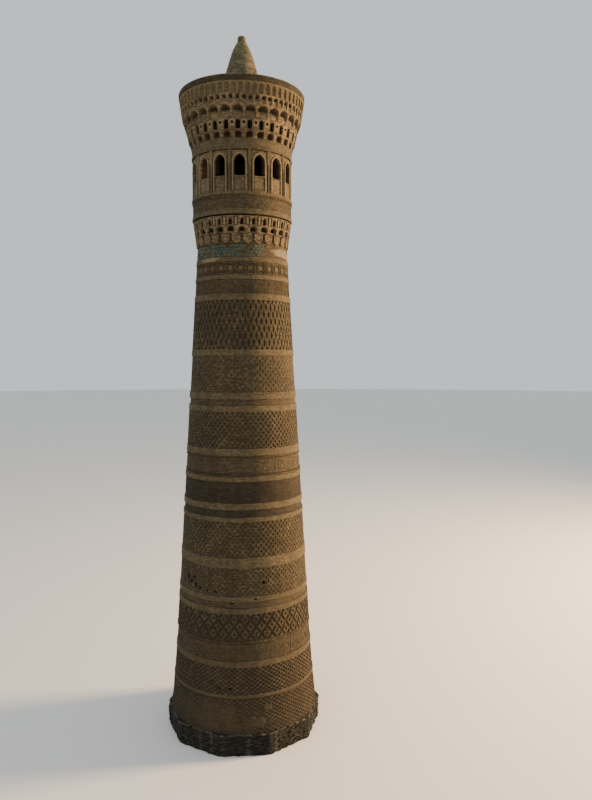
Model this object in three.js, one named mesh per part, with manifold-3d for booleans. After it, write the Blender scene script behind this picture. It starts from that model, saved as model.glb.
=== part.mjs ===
// A tapering brick minaret with an arcaded gallery at its head, as a 1:10 model of the full-size tower.
// Millimetres, +Z up. The origin is the centre of the plinth's foot, and a gallery window faces -Y. Angles are
// counted from -Y towards +X.
import * as THREE from "three";
import { mergeVertices } from "three/addons/utils/BufferGeometryUtils.js";
import Module from "manifold-3d";

const wasm = await Module();
wasm.setup();

const MODEL_SCALE = 1 / 10;

// A length of the full-size tower, in metres, as millimetres of the model.
const real = (metres) => metres * 1000 * MODEL_SCALE;

// Plinth: a low ten-sided mass of masonry, with one face turned a little past -Y. The radius is to the corners.
const PLINTH_SIDES = 10;
const PLINTH_TURN = THREE.MathUtils.degToRad(3);
const PLINTH_RADIUS = real(5.16);
const PLINTH_TOP = real(1.35);

// Shaft: a straight taper from ground to neck, with a slight flare over its lowest metres.
const SHAFT_RADIUS_AT_GROUND = real(4.84);
const NECK_RADIUS = real(2.95);
const NECK_HEIGHT = real(31.63);
const FOOT_FLARE = real(0.14);
const FOOT_FLARE_HEIGHT = real(4.0);
const FLARE_POWER = 1.5;
const SHAFT_BORE_RADIUS = real(2.0);
const SHAFT_FACETS = 32;

// Border courses stand proud of the shaft's taper, and grooves lie behind it.
const FILLET = real(0.04);
const GROOVE = real(-0.05);

// One drum for each ornamental band: where its band ends, then the border courses that crown it.
const SHAFT_DRUMS = [
  { name: "shaft_drum_01_lower_hatch", bandTop: 3.46, border: [[3.54, GROOVE], [3.73, FILLET]] },
  { name: "shaft_drum_02_cross_hatch", bandTop: 5.41, border: [[5.78, FILLET]] },
  { name: "shaft_drum_03_panel_frieze", bandTop: 6.83, border: [[7.11, GROOVE]] },
  { name: "shaft_drum_04_lozenge", bandTop: 8.69, border: [[9.04, FILLET], [9.44, GROOVE], [9.76, FILLET]] },
  { name: "shaft_drum_05_fine_hatch", bandTop: 11.52, border: [[12.16, FILLET]] },
  { name: "shaft_drum_06_zigzag", bandTop: 14.38, border: [[14.66, FILLET], [15.12, GROOVE], [15.52, FILLET]] },
  { name: "shaft_drum_07_dark_weave", bandTop: 16.86, border: [[17.17, FILLET], [17.48, GROOVE]] },
  { name: "shaft_drum_08_square_panels", bandTop: 18.16, border: [[18.47, GROOVE], [18.91, FILLET]] },
  { name: "shaft_drum_09_diamond", bandTop: 21.2, border: [[21.57, FILLET], [21.97, GROOVE], [22.4, FILLET]] },
  { name: "shaft_drum_10_fine_weave", bandTop: 24.7, border: [[25.09, FILLET]] },
  { name: "shaft_drum_11_zigzag_relief", bandTop: 28.16, border: [[28.56, FILLET]] },
  { name: "shaft_drum_12_key_pattern", bandTop: 29.46, border: [[29.74, FILLET]] },
  { name: "shaft_drum_13_medallions", bandTop: 30.54, border: [[30.85, FILLET]] },
];
const GLAZED_BAND = "glazed_band";

// Lower cornice: two rings that corbel out from the neck to the gallery.
const LEAF_RING = { top: real(32.29), foot: real(3.0), head: real(3.1) };
const LOWER_NICHE_RING = { top: real(33.33), foot: real(3.1), head: real(3.22) };
const LOWER_NICHES = 27;
const LOWER_NICHE_TURN = THREE.MathUtils.degToRad(2.4);
const LOWER_NICHE = {
  width: real(0.26),
  sill: real(32.45),
  spring: real(33.0),
  apex: real(33.2),
  depth: real(0.12),
};

// Gallery: a drum with a floor in its rebate, a parapet, and sixteen bays, each with a pointed window.
const GALLERY_RADIUS = real(3.24);
const GALLERY_INNER_RADIUS = real(2.72);
const DRUM_LIP_RADIUS = real(3.29);
const DRUM_LIP_TOP = real(33.74);
const DRUM_BAND_TOP = real(34.42);
const GALLERY_FLOOR_TOP = real(34.81);
const FLOOR_THICKNESS = real(0.35);
const FLOOR_CLEARANCE = 0.3;
const HATCH = { width: real(0.9), length: real(1.1), centre: real(1.25) };
const BAYS = 16;
const WINDOW_WIDTH = real(0.72);
const SILL = real(35.73);
const SPRING = real(36.45);
const ARCADE_TOP = real(37.35);
const PARAPET_PANEL = { width: real(0.72), rise: real(0.12), depth: real(0.1) };
const BAY_CLEARANCE = 0.3;
const PILASTER = { width: real(0.26), depth: real(0.05) };
const GALLERY_FACETS = 32;
const ARC_STEPS = 4;

// Frieze and upper cornice: rings that corbel out in five tiers to the roof's rim.
const FRIEZE = {
  mouldTop: real(37.47),
  mouldRadius: real(3.3),
  foot: real(3.25),
  head: real(3.29),
  top: real(37.99),
};
const CORNICE_BORE_RADIUS = real(3.0);
const BORE_CLEARANCE = 0.3;
const FRINGE_TIER = { top: real(38.45), foot: real(3.32), head: real(3.4) };
const NICHE_TIER = { top: real(39.11), foot: real(3.46), head: real(3.58) };
const STALACTITE_TIER = { top: real(39.85), foot: real(3.62), head: real(3.82) };
const SLOT_TIER = { top: real(41.14), foot: real(3.88), head: real(4.04) };
const CORNICE_BAYS = 30;
const CORNICE_TURN = THREE.MathUtils.degToRad(-1.1);
const CORNICE_CORNER = CORNICE_TURN + Math.PI / CORNICE_BAYS;
const CORNICE_NICHE = {
  width: real(0.34),
  sill: real(38.52),
  spring: real(38.84),
  apex: real(39.03),
  depth: real(0.16),
};
const STALACTITE_ARCH = {
  width: real(0.52),
  sill: real(39.2),
  spring: real(39.5),
  apex: real(39.74),
  depth: real(0.14),
};

// Roof: one mass of masonry with a domed underside, a deck and a raised rim.
const DOME_SPRING = FRIEZE.top;
const DOME_RADIUS = real(2.65);
const DOME_RISE = real(2.6);
const DOME_STEPS = 6;
const RIM_TOP = real(41.53);
const RIM_RADIUS = real(4.1);
const RIM_WIDTH = real(0.35);
const DECK_TOP = real(41.4);

// Pinnacle: a cone of brick that bulges most near its head, with a small round knob.
const CONE_FOOT_RADIUS = real(1.65);
const CONE_NECK_RADIUS = real(0.27);
const CONE_TOP = real(45.13);
const CONE_BULGE = real(0.1);
const BULGE_POWER = 3;
const CONE_STEPS = 9;
const KNOB_RADIUS = real(0.27);
const TOTAL_HEIGHT = real(45.5);
const PINNACLE_FACETS = 24;

// A radius outside every wall, where a cutter can end.
const CLEAR = RIM_RADIUS + real(0.1);

const BRICK = new THREE.MeshStandardMaterial({ color: 0x8f7246, roughness: 0.9, metalness: 0 });
const PLINTH_BRICK = new THREE.MeshStandardMaterial({ color: 0x4a4234, roughness: 0.95, metalness: 0 });
const GLAZED_TILE = new THREE.MeshStandardMaterial({ color: 0x3f6d70, roughness: 0.35, metalness: 0 });
const ROOF_BRICK = new THREE.MeshStandardMaterial({ color: 0x837552, roughness: 0.95, metalness: 0 });

const minaret = new THREE.Group();

function add(name, geometry, material) {
  const mesh = new THREE.Mesh(geometry, material);
  mesh.name = name;
  minaret.add(mesh);
  return mesh;
}

// A solid of revolution about Z. The outline is a list of [radius, height], up the outside and down the inside.
function turned(outline, facets, startAngle = 0) {
  const points = outline.map(([radius, height]) => new THREE.Vector2(radius, height));
  if (outline[0][0] > 0) points.push(points[0].clone());
  return new THREE.LatheGeometry(points, facets, startAngle).rotateX(Math.PI / 2);
}

function ring(bottom, top, outerFoot, outerHead, inner) {
  return [[inner, bottom], [outerFoot, bottom], [outerHead, top], [inner, top]];
}

// A closed geometry as a solid for cutting, and back again.
function solid(geometry) {
  const bare = geometry.index ? geometry.toNonIndexed() : geometry.clone();
  bare.deleteAttribute("normal");
  bare.deleteAttribute("uv");
  const merged = mergeVertices(bare, 1e-3);
  return new wasm.Manifold(
    new wasm.Mesh({
      numProp: 3,
      vertProperties: merged.attributes.position.array,
      triVerts: new Uint32Array(merged.index.array),
    }),
  );
}

function geometryOf(body) {
  const mesh = body.getMesh();
  return new THREE.BufferGeometry()
    .setAttribute("position", new THREE.BufferAttribute(mesh.vertProperties, 3))
    .setIndex(new THREE.BufferAttribute(mesh.triVerts, 1));
}

const cut = (geometry, cutters) =>
  geometryOf(cutters.reduce((body, cutter) => body.subtract(solid(cutter)), solid(geometry)));

// A flat outline in (across, up), pushed out along the radius from one distance to another, at an angle.
function radialPrism(shape, from, to, angle) {
  return new THREE.ExtrudeGeometry(shape, { depth: to - from, bevelEnabled: false, curveSegments: ARC_STEPS })
    .rotateX(Math.PI / 2)
    .translate(0, -from, 0)
    .rotateZ(angle);
}

function rectangle(width, bottom, top) {
  return new THREE.Shape([
    new THREE.Vector2(-width / 2, bottom),
    new THREE.Vector2(width / 2, bottom),
    new THREE.Vector2(width / 2, top),
    new THREE.Vector2(-width / 2, top),
  ]);
}

// A small niche: straight sides and a plain pointed head.
function nicheShape({ width, sill, spring, apex }) {
  return new THREE.Shape([
    new THREE.Vector2(-width / 2, sill),
    new THREE.Vector2(width / 2, sill),
    new THREE.Vector2(width / 2, spring),
    new THREE.Vector2(0, apex),
    new THREE.Vector2(-width / 2, spring),
  ]);
}

// An equilateral pointed arch on straight jambs.
function archShape(width, below, spring) {
  const half = width / 2;
  const shape = new THREE.Shape();
  shape.moveTo(-half, below);
  shape.lineTo(half, below);
  shape.lineTo(half, spring);
  shape.absarc(-half, spring, width, 0, Math.PI / 3, false);
  shape.absarc(half, spring, width, (2 * Math.PI) / 3, Math.PI, false);
  shape.lineTo(-half, below);
  return shape;
}

const around = (count, make) => Array.from({ length: count }, (_, i) => make((i * 2 * Math.PI) / count, i));

// The shaft's radius on its taper at a height.
function shaftRadius(height) {
  const taper = THREE.MathUtils.lerp(SHAFT_RADIUS_AT_GROUND, NECK_RADIUS, height / NECK_HEIGHT);
  const flare = Math.max(0, 1 - (height - PLINTH_TOP) / FOOT_FLARE_HEIGHT) ** FLARE_POWER;
  return taper + FOOT_FLARE * flare;
}

function addPlinth() {
  const outline = [[0, 0], [PLINTH_RADIUS, 0], [PLINTH_RADIUS, PLINTH_TOP], [0, PLINTH_TOP]];
  add("plinth", turned(outline, PLINTH_SIDES, Math.PI / PLINTH_SIDES + PLINTH_TURN), PLINTH_BRICK);
}

function addShaft() {
  let foot = PLINTH_TOP;
  for (const { name, bandTop, border } of SHAFT_DRUMS) {
    const head = real(bandTop);
    const outline = [[SHAFT_BORE_RADIUS, foot], [shaftRadius(foot), foot], [shaftRadius(head), head]];
    let height = head;
    for (const [top, projection] of border) {
      outline.push([shaftRadius(height) + projection, height]);
      height = real(top);
      outline.push([shaftRadius(height) + projection, height]);
    }
    outline.push([SHAFT_BORE_RADIUS, height]);
    add(name, turned(outline, SHAFT_FACETS), BRICK);
    foot = height;
  }
  const glazed = ring(foot, NECK_HEIGHT, shaftRadius(foot), NECK_RADIUS, SHAFT_BORE_RADIUS);
  add(GLAZED_BAND, turned(glazed, SHAFT_FACETS), GLAZED_TILE);
}

function addLowerCornice() {
  const leaves = ring(NECK_HEIGHT, LEAF_RING.top, LEAF_RING.foot, LEAF_RING.head, SHAFT_BORE_RADIUS);
  const corner = Math.PI / LOWER_NICHES + LOWER_NICHE_TURN;
  add("lower_cornice_leaf_ring", turned(leaves, LOWER_NICHES, corner), BRICK);

  const { top, foot, head } = LOWER_NICHE_RING;
  const body = ring(LEAF_RING.top, top, foot, head, SHAFT_BORE_RADIUS);
  const niches = around(LOWER_NICHES, (angle) =>
    radialPrism(nicheShape(LOWER_NICHE), foot - LOWER_NICHE.depth, CLEAR, angle + LOWER_NICHE_TURN),
  );
  add("lower_cornice_niche_ring", cut(turned(body, LOWER_NICHES, corner), niches), BRICK);
}

function addGalleryBase() {
  const floorFoot = GALLERY_FLOOR_TOP - FLOOR_THICKNESS;
  const drum = [
    [SHAFT_BORE_RADIUS, LOWER_NICHE_RING.top],
    [DRUM_LIP_RADIUS, LOWER_NICHE_RING.top],
    [DRUM_LIP_RADIUS, DRUM_LIP_TOP],
    [GALLERY_RADIUS, DRUM_LIP_TOP],
    [GALLERY_RADIUS, DRUM_BAND_TOP],
    [DRUM_LIP_RADIUS, DRUM_BAND_TOP],
    [DRUM_LIP_RADIUS, GALLERY_FLOOR_TOP],
    [GALLERY_INNER_RADIUS, GALLERY_FLOOR_TOP],
    [GALLERY_INNER_RADIUS, floorFoot],
    [SHAFT_BORE_RADIUS, floorFoot],
  ];
  add("gallery_drum", turned(drum, GALLERY_FACETS), BRICK);

  const floorRadius = GALLERY_INNER_RADIUS - FLOOR_CLEARANCE;
  const slab = [[0, floorFoot], [floorRadius, floorFoot], [floorRadius, GALLERY_FLOOR_TOP], [0, GALLERY_FLOOR_TOP]];
  const hatch = new THREE.BoxGeometry(HATCH.length, HATCH.width, 3 * FLOOR_THICKNESS).translate(
    0,
    HATCH.centre,
    GALLERY_FLOOR_TOP,
  );
  add("gallery_floor", cut(turned(slab, GALLERY_FACETS), [hatch]), BRICK);
}

function addParapet() {
  const body = ring(GALLERY_FLOOR_TOP, SILL, GALLERY_RADIUS, GALLERY_RADIUS, GALLERY_INNER_RADIUS);
  const panel = rectangle(PARAPET_PANEL.width, GALLERY_FLOOR_TOP + PARAPET_PANEL.rise, SILL + real(0.1));
  const recesses = around(BAYS, (angle) => radialPrism(panel, GALLERY_RADIUS - PARAPET_PANEL.depth, CLEAR, angle));
  add("gallery_parapet", cut(turned(body, GALLERY_FACETS), recesses), BRICK);
}

// A bay is the wall from the middle of one pier to the middle of the next, with half a pilaster at either end.
function bayShape() {
  const halfBay = Math.PI / BAYS - BAY_CLEARANCE / 2 / GALLERY_RADIUS;
  const at = (radius, angle) => new THREE.Vector2(radius * Math.sin(angle), -radius * Math.cos(angle));
  const pilaster = (side) => {
    const face = at(GALLERY_RADIUS + PILASTER.depth, side * halfBay);
    const along = new THREE.Vector2(Math.cos(side * halfBay), Math.sin(side * halfBay));
    const across = along.multiplyScalar((-side * PILASTER.width) / 2);
    const root = at(GALLERY_RADIUS, side * halfBay).add(across);
    return [face, face.clone().add(across), root];
  };
  return new THREE.Shape([
    at(GALLERY_INNER_RADIUS, -halfBay),
    ...pilaster(-1),
    at(GALLERY_RADIUS, 0),
    ...pilaster(1).reverse(),
    at(GALLERY_INNER_RADIUS, halfBay),
    at(GALLERY_INNER_RADIUS, 0),
  ]);
}

function addArcade() {
  const wall = new THREE.ExtrudeGeometry(bayShape(), { depth: ARCADE_TOP - SILL, bevelEnabled: false });
  wall.translate(0, 0, SILL);
  const window = radialPrism(archShape(WINDOW_WIDTH, SILL - real(0.1), SPRING), GALLERY_INNER_RADIUS / 2, CLEAR, 0);
  const bay = cut(wall, [window]);
  for (const index of Array(BAYS).keys()) {
    const mesh = add(`gallery_bay_${String(index + 1).padStart(2, "0")}`, bay, BRICK);
    mesh.rotation.z = (index * 2 * Math.PI) / BAYS;
  }
}

function addFrieze() {
  const outline = [
    [GALLERY_INNER_RADIUS, ARCADE_TOP],
    [FRIEZE.mouldRadius, ARCADE_TOP],
    [FRIEZE.mouldRadius, FRIEZE.mouldTop],
    [FRIEZE.foot, FRIEZE.mouldTop],
    [FRIEZE.head, FRIEZE.top],
    [GALLERY_INNER_RADIUS, FRIEZE.top],
  ];
  add("frieze", turned(outline, GALLERY_FACETS), BRICK);
}

function addUpperCornice() {
  const tier = (bottom, { top, foot, head }) =>
    turned(ring(bottom, top, foot, head, CORNICE_BORE_RADIUS), CORNICE_BAYS, CORNICE_CORNER);
  const niches = (niche, foot) =>
    around(CORNICE_BAYS, (angle) =>
      radialPrism(nicheShape(niche), foot - niche.depth, CLEAR, angle + CORNICE_TURN),
    );

  add("upper_cornice_fringe", tier(FRIEZE.top, FRINGE_TIER), BRICK);
  const nicheTier = tier(FRINGE_TIER.top, NICHE_TIER);
  add("upper_cornice_niches", cut(nicheTier, niches(CORNICE_NICHE, NICHE_TIER.foot)), BRICK);
  const stalactiteTier = tier(NICHE_TIER.top, STALACTITE_TIER);
  add("upper_cornice_stalactites", cut(stalactiteTier, niches(STALACTITE_ARCH, STALACTITE_TIER.foot)), BRICK);
  add("upper_cornice_slots", tier(STALACTITE_TIER.top, SLOT_TIER), BRICK);
}

function addRoof() {
  const core = CORNICE_BORE_RADIUS - BORE_CLEARANCE;
  const outline = [
    [DOME_RADIUS, DOME_SPRING],
    [core, DOME_SPRING],
    [core, SLOT_TIER.top],
    [RIM_RADIUS, SLOT_TIER.top],
    [RIM_RADIUS, RIM_TOP],
    [RIM_RADIUS - RIM_WIDTH, RIM_TOP],
    [RIM_RADIUS - RIM_WIDTH, DECK_TOP],
    [0, DECK_TOP],
  ];
  const dome = Array.from({ length: DOME_STEPS }, (_, i) => {
    const angle = ((DOME_STEPS - i) * Math.PI) / (2 * DOME_STEPS);
    return [i === 0 ? 0 : DOME_RADIUS * Math.cos(angle), DOME_SPRING + DOME_RISE * Math.sin(angle)];
  });
  add("roof_vault", turned([...dome, ...outline], CORNICE_BAYS, CORNICE_CORNER), ROOF_BRICK);
}

function addPinnacle() {
  const side = Array.from({ length: CONE_STEPS + 1 }, (_, i) => {
    const share = i / CONE_STEPS;
    const straight = THREE.MathUtils.lerp(CONE_FOOT_RADIUS, CONE_NECK_RADIUS, share);
    const bulge = CONE_BULGE * Math.sin(Math.PI * share ** BULGE_POWER);
    return [straight + bulge, THREE.MathUtils.lerp(DECK_TOP, CONE_TOP, share)];
  });
  add("pinnacle_cone", turned([[0, DECK_TOP], ...side, [0, CONE_TOP]], PINNACLE_FACETS), ROOF_BRICK);

  const middle = (CONE_TOP + TOTAL_HEIGHT) / 2;
  const waist = KNOB_RADIUS * 0.8;
  const knob = [[0, CONE_TOP], [waist, CONE_TOP], [KNOB_RADIUS, middle], [waist, TOTAL_HEIGHT], [0, TOTAL_HEIGHT]];
  add("pinnacle_knob", turned(knob, PINNACLE_FACETS / 2), ROOF_BRICK);
}

addPlinth();
addShaft();
addLowerCornice();
addGalleryBase();
addParapet();
addArcade();
addFrieze();
addUpperCornice();
addRoof();
addPinnacle();

export default minaret;
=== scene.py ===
"""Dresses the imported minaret: patterned brickwork, glazed tiles, stalactite cornices and the arcaded gallery.

Sizes are written in metres of the full-size tower and turned into metres of the 1:10 model by model(). Angles
are counted round the tower's axis from -Y towards +X. Relief is measured outwards from the wall's face.
"""

import logging
import math
import random
from collections.abc import Sequence
from dataclasses import dataclass, replace
from enum import Enum

import bmesh
import bpy
from mathutils import Matrix, Vector, noise


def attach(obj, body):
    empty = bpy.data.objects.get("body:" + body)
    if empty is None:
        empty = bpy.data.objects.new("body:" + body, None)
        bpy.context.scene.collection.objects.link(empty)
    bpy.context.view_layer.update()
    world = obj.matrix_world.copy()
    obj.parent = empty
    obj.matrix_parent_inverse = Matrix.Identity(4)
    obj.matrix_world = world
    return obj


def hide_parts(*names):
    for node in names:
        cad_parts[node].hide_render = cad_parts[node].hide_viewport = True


log = logging.getLogger("minaret")

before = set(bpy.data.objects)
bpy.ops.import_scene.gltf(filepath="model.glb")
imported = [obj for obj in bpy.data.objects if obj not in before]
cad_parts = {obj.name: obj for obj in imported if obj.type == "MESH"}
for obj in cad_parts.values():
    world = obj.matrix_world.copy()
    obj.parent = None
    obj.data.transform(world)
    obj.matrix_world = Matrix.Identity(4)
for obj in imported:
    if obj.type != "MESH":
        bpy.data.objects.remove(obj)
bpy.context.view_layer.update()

Node = bpy.types.Node
Socket = bpy.types.NodeSocket
Mesh = bpy.types.Mesh
Object = bpy.types.Object
Worked = bmesh.types.BMesh
Corner = bmesh.types.BMVert
Point = tuple[float, float]
Value = float | int | Socket | Sequence[float] | bpy.types.Material
Inputs = dict[str | int, Value]

# One metre of the full-size tower, in metres of the model.
SCALE = 0.1
# Bends up to this angle are shaded smooth, and vertices nearer than this are one.
SMOOTH_ANGLE = math.radians(32)
WELD_DISTANCE = 2e-5
# Weathering: the noise's scale, and the radius inside which nothing is pushed.
WEATHER_SCALE = 11.0
CALM_RADIUS = 0.3
# How deep a brick is let into its wall, and the share of relief below which a worn brick is left out.
BRICK_BED = 0.02
LEAST_RELIEF = 0.02
# A wall's bulge is widest where this power of the height's share is a half.
SWELL_POWER = 3.0
# The shaft's radius where holes' widths are true, and the share of a hole's size that bricks keep away from.
MIDDLE_RADIUS = 4.2
BROKEN_EDGE = 0.7
# Rays of a slice nearer than this are one, and wider gaps than this are filled.
RAY_MERGE = math.radians(2.2)
RAY_GAP = math.radians(24)
SAME_HEIGHT = 1e-6
# How far border courses stand out and are set back, and how far behind the face a raised edge lies.
FILLET = 0.025
GROOVE = -0.05
RAISED = -0.012
# Half a hatch brick's width in repeats, the step beside a lattice's bars, and how far broken bars lean.
HATCH_REACH = 0.31
BAR_STEP = 0.16
CHEVRON_LEAN = 1.2
# One repeat of the fret, from its top row down.
FRET_MOTIF = (
    "########",
    "........",
    "###.###.",
    "..#.#...",
    "#.#.#.##",
    "#...#.#.",
    "###.###.",
    "........",
    "########",
)


def model(metres: float) -> float:
    """Turns a length of the full-size tower into a length of the model."""
    return metres * SCALE


def linear(code: str) -> tuple[float, float, float, float]:
    """Turns a colour such as "#8a6a3f" into linear values.

    Args:
        code: The colour as six hexadecimal digits after a hash.

    Returns:
        Red, green, blue and an alpha of one.
    """
    shares = [int(code[i : i + 2], 16) / 255 for i in (1, 3, 5)]
    red, green, blue = (s / 12.92 if s <= 0.04045 else ((s + 0.055) / 1.055) ** 2.4 for s in shares)
    return red, green, blue, 1.0


def lerp(low: float, high: float, share: float) -> float:
    """Mixes two numbers."""
    return low + (high - low) * share


def frac(number: float) -> float:
    """The part of a number above the whole number below it."""
    return number - math.floor(number)


def turn_from(degrees: float, other: float) -> float:
    """The shorter way round from one angle to another, in degrees."""
    return (degrees - other + 180) % 360 - 180


def full_turn(steps: int) -> list[float]:
    """Angles in equal steps round a full turn."""
    return [i * math.tau / steps for i in range(steps)]


def on_ring(radius: float, angle: float, height: float) -> Vector:
    """Finds the model's point at a full-size radius and height, in metres of the model."""
    return Vector((radius * math.sin(angle), -radius * math.cos(angle), height)) * SCALE


class NodeBench:
    """Adds nodes to a tree and joins them."""

    def __init__(self, tree: bpy.types.NodeTree) -> None:
        """Keeps the tree that the nodes go into."""
        self.tree = tree

    def add(self, kind: str, inputs: Inputs | None = None, **settings: object) -> Node:
        """Adds one node.

        Args:
            kind: The node's type.
            inputs: Values or links by the input's name or number.
            settings: The node's own properties.

        Returns:
            The new node.
        """
        node = self.tree.nodes.new(kind)
        for name, value in settings.items():
            setattr(node, name, value)
        for key, value in (inputs or {}).items():
            if isinstance(value, Socket):
                self.tree.links.new(value, node.inputs[key])
            else:
                node.inputs[key].default_value = value
        return node

    def result(self, kind: str, inputs: Inputs | None = None, **settings: object) -> Socket:
        """Adds one node and returns its first output."""
        return self.add(kind, inputs, **settings).outputs[0]

    def math(self, operation: str, *values: Value) -> Socket:
        """Adds a Math node on one to three values and returns its output."""
        return self.result("ShaderNodeMath", dict(enumerate(values)), operation=operation)

    def vector(self, x: Value, y: Value, z: Value) -> Socket:
        """Joins three numbers to a vector."""
        return self.result("ShaderNodeCombineXYZ", {0: x, 1: y, 2: z})

    def mix(self, share: Value, first: Value, second: Value, blend: str = "MIX") -> Socket:
        """Mixes two colours and returns the result."""
        colours = {"Factor": share, 6: first, 7: second}
        return self.add("ShaderNodeMix", colours, data_type="RGBA", blend_type=blend).outputs[2]

    def noise(self, place: Value, scale: float, detail: float = 4.0, rough: float = 0.55) -> Socket:
        """Adds a noise and returns its value."""
        inputs = {"Vector": place, "Scale": scale, "Detail": detail, "Roughness": rough}
        return self.result("ShaderNodeTexNoise", inputs)

    def span(
        self, value: Value, low: float, high: float, to_low: float = 0.0, to_high: float = 1.0
    ) -> Socket:
        """Maps a stretch of a value onto another stretch, and holds it there."""
        inputs = {"Value": value, "From Min": low, "From Max": high, "To Min": to_low, "To Max": to_high}
        return self.result("ShaderNodeMapRange", inputs)

    def place(self) -> Socket:
        """Adds the object's own coordinates."""
        return self.add("ShaderNodeTexCoord").outputs["Object"]

    def attribute(self, name: str) -> Socket:
        """Reads a number that is stored on the mesh."""
        return self.add("ShaderNodeAttribute", attribute_name=name).outputs["Fac"]

    def random(self, seed: Value, low: Value = 0.0, high: Value = 1.0) -> Socket:
        """Draws a number for each thing."""
        inputs = {"Seed": seed, 2: low, 3: high}
        return self.add("FunctionNodeRandomValue", inputs, data_type="FLOAT").outputs[1]


@dataclass(frozen=True)
class Finish:
    """What every finish of the tower has."""

    name: str

    def material(self) -> bpy.types.Material:
        """Finds the finish's material, or makes it the first time.

        Returns:
            The material.
        """
        made = bpy.data.materials.get(self.name)
        if made is None:
            made = bpy.data.materials.new(self.name)
            made.use_nodes = True
            made.node_tree.nodes.clear()
            self.paint(NodeBench(made.node_tree))
        return made

    def paint(self, bench: NodeBench) -> None:
        """Builds the shader's nodes."""
        raise NotImplementedError

    @staticmethod
    def surface(
        bench: NodeBench, colour: Value, roughness: Value, height: Value, depth: float, coat: float = 0.0
    ) -> None:
        """Ends a shader in a bumped surface.

        Args:
            bench: Where the nodes go.
            colour: The base colour.
            roughness: The roughness.
            height: The height that the bump reads.
            depth: The bump's depth, in metres of the full-size tower.
            coat: The strength of a clear glaze over the colour.
        """
        bump = bench.result("ShaderNodeBump", {"Strength": 1.0, "Distance": model(depth), "Height": height})
        inputs = {
            "Base Color": colour,
            "Roughness": roughness,
            "Normal": bump,
            "Specular IOR Level": 0.25,
            "Coat Weight": coat,
            "Coat Roughness": 0.2,
        }
        bench.add("ShaderNodeOutputMaterial", {"Surface": bench.result("ShaderNodeBsdfPrincipled", inputs)})


@dataclass(frozen=True)
class BrickFinish(Finish):
    """Fired brick, weathered outdoors, either laid singly or drawn in courses."""

    dark: str
    mid: str
    pale: str
    stain: str
    joint: str = "#5b4c36"
    # The colour that deep places are darkened towards: painted shade.
    shade: str = "#15110b"
    coursed: bool = True
    paved: bool = False
    bricks_round: int = 96
    course: float = 0.075
    stained: float = 0.45
    streaked: float = 0.25
    bloomed: float = 0.0
    grain: float = 0.012
    grain_share: float = 0.38
    damp_foot: float = 1.4
    damp_head: float = 12.0

    def paint(self, bench: NodeBench) -> None:
        """Mixes each brick's own tone with stains, rain streaks, grain, painted shade in deep places and a
        painted highlight on raised edges.

        Args:
            bench: Where the nodes go.
        """
        place = bench.place()
        parts = bench.add("ShaderNodeSeparateXYZ", {0: place})
        grain = bench.noise(place, 240.0, 6.0, 0.65)
        tone, joints = self.brick_tones(bench, parts)
        tone = bench.math("MULTIPLY", tone, 1 - self.grain_share)
        tone = bench.math("ADD", tone, bench.math("MULTIPLY", grain, self.grain_share))
        ramp = bench.add("ShaderNodeValToRGB", {"Fac": tone})
        stops = ramp.color_ramp.elements
        stops.new(0.5)
        for stop, at, code in zip(stops, (0.15, 0.5, 0.85), (self.dark, self.mid, self.pale)):
            stop.position = at
            stop.color = linear(code)
        colour = ramp.outputs["Color"]

        stains = bench.span(bench.noise(place, 5.0, 5.0, 0.6), 0.42, 0.68, 0.0, self.stained)
        colour = bench.mix(stains, colour, linear(self.stain))
        tall = bench.result("ShaderNodeMapping", {"Vector": place, "Scale": (1.0, 1.0, 0.06)})
        rain = bench.span(bench.noise(tall, 42.0, 4.0, 0.6), 0.5, 0.72, 0.0, self.streaked)
        colour = bench.mix(rain, colour, linear(self.dark), "MULTIPLY")
        damp = bench.span(parts.outputs["Z"], model(self.damp_foot), model(self.damp_head), 0.62, 0.0)
        colour = bench.mix(damp, colour, linear(self.stain))
        if self.bloomed:
            salt = bench.span(bench.noise(tall, 16.0, 5.0, 0.7), 0.52, 0.66, 0.0, self.bloomed)
            colour = bench.mix(salt, colour, linear(self.pale))
        height = grain
        if joints is not None:
            colour = bench.mix(joints, colour, linear(self.joint))
            height = bench.math("SUBTRACT", bench.math("MULTIPLY", grain, 0.5), joints)
        # Painted shade: the deeper a place lies behind the wall's face, the nearer it comes to the shade
        # colour.
        deep = bench.attribute("depth")
        colour = bench.mix(bench.span(deep, 0.015, 0.17, 0.0, 0.9), colour, linear(self.shade))
        # Painted highlight: raised edges in front of the face are lightened towards the pale colour.
        colour = bench.mix(bench.span(deep, -0.012, -0.002, 0.45, 0.0), colour, linear(self.pale))
        self.surface(bench, colour, bench.span(grain, 0.3, 0.7, 0.82, 0.97), height, self.grain)

    def brick_tones(self, bench: NodeBench, parts: Node) -> tuple[Socket, Socket | None]:
        """Gives each brick a tone of its own.

        Args:
            bench: Where the nodes go.
            parts: The object's own coordinates, taken apart.

        Returns:
            The tone, and how much of a joint a place is where the bricks are drawn.
        """
        if not self.coursed:
            return bench.attribute("tone"), None
        x, y, rise = parts.outputs
        angle = bench.math("ARCTAN2", x, bench.math("MULTIPLY", y, -1.0))
        across = bench.math("MULTIPLY", angle, self.bricks_round / math.tau)
        if self.paved:
            squares = [bench.math("MULTIPLY", axis, axis) for axis in (x, y)]
            rise = bench.math("ADD", rise, bench.math("SQRT", bench.math("ADD", *squares)))
        up = bench.math("DIVIDE", rise, model(self.course))
        inputs = {
            "Vector": bench.vector(across, up, 0.0),
            "Color1": (0.0, 0.0, 0.0, 1.0),
            "Color2": (1.0, 1.0, 1.0, 1.0),
            "Mortar": (0.5, 0.5, 0.5, 1.0),
            "Scale": 1.0,
            "Mortar Size": 0.055,
            "Mortar Smooth": 0.4,
            "Brick Width": 1.0,
            "Row Height": 1.0,
        }
        bricks = bench.add("ShaderNodeTexBrick", inputs)
        return bricks.outputs["Color"], bench.math("MULTIPLY", bricks.outputs["Fac"], 0.75)


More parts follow.
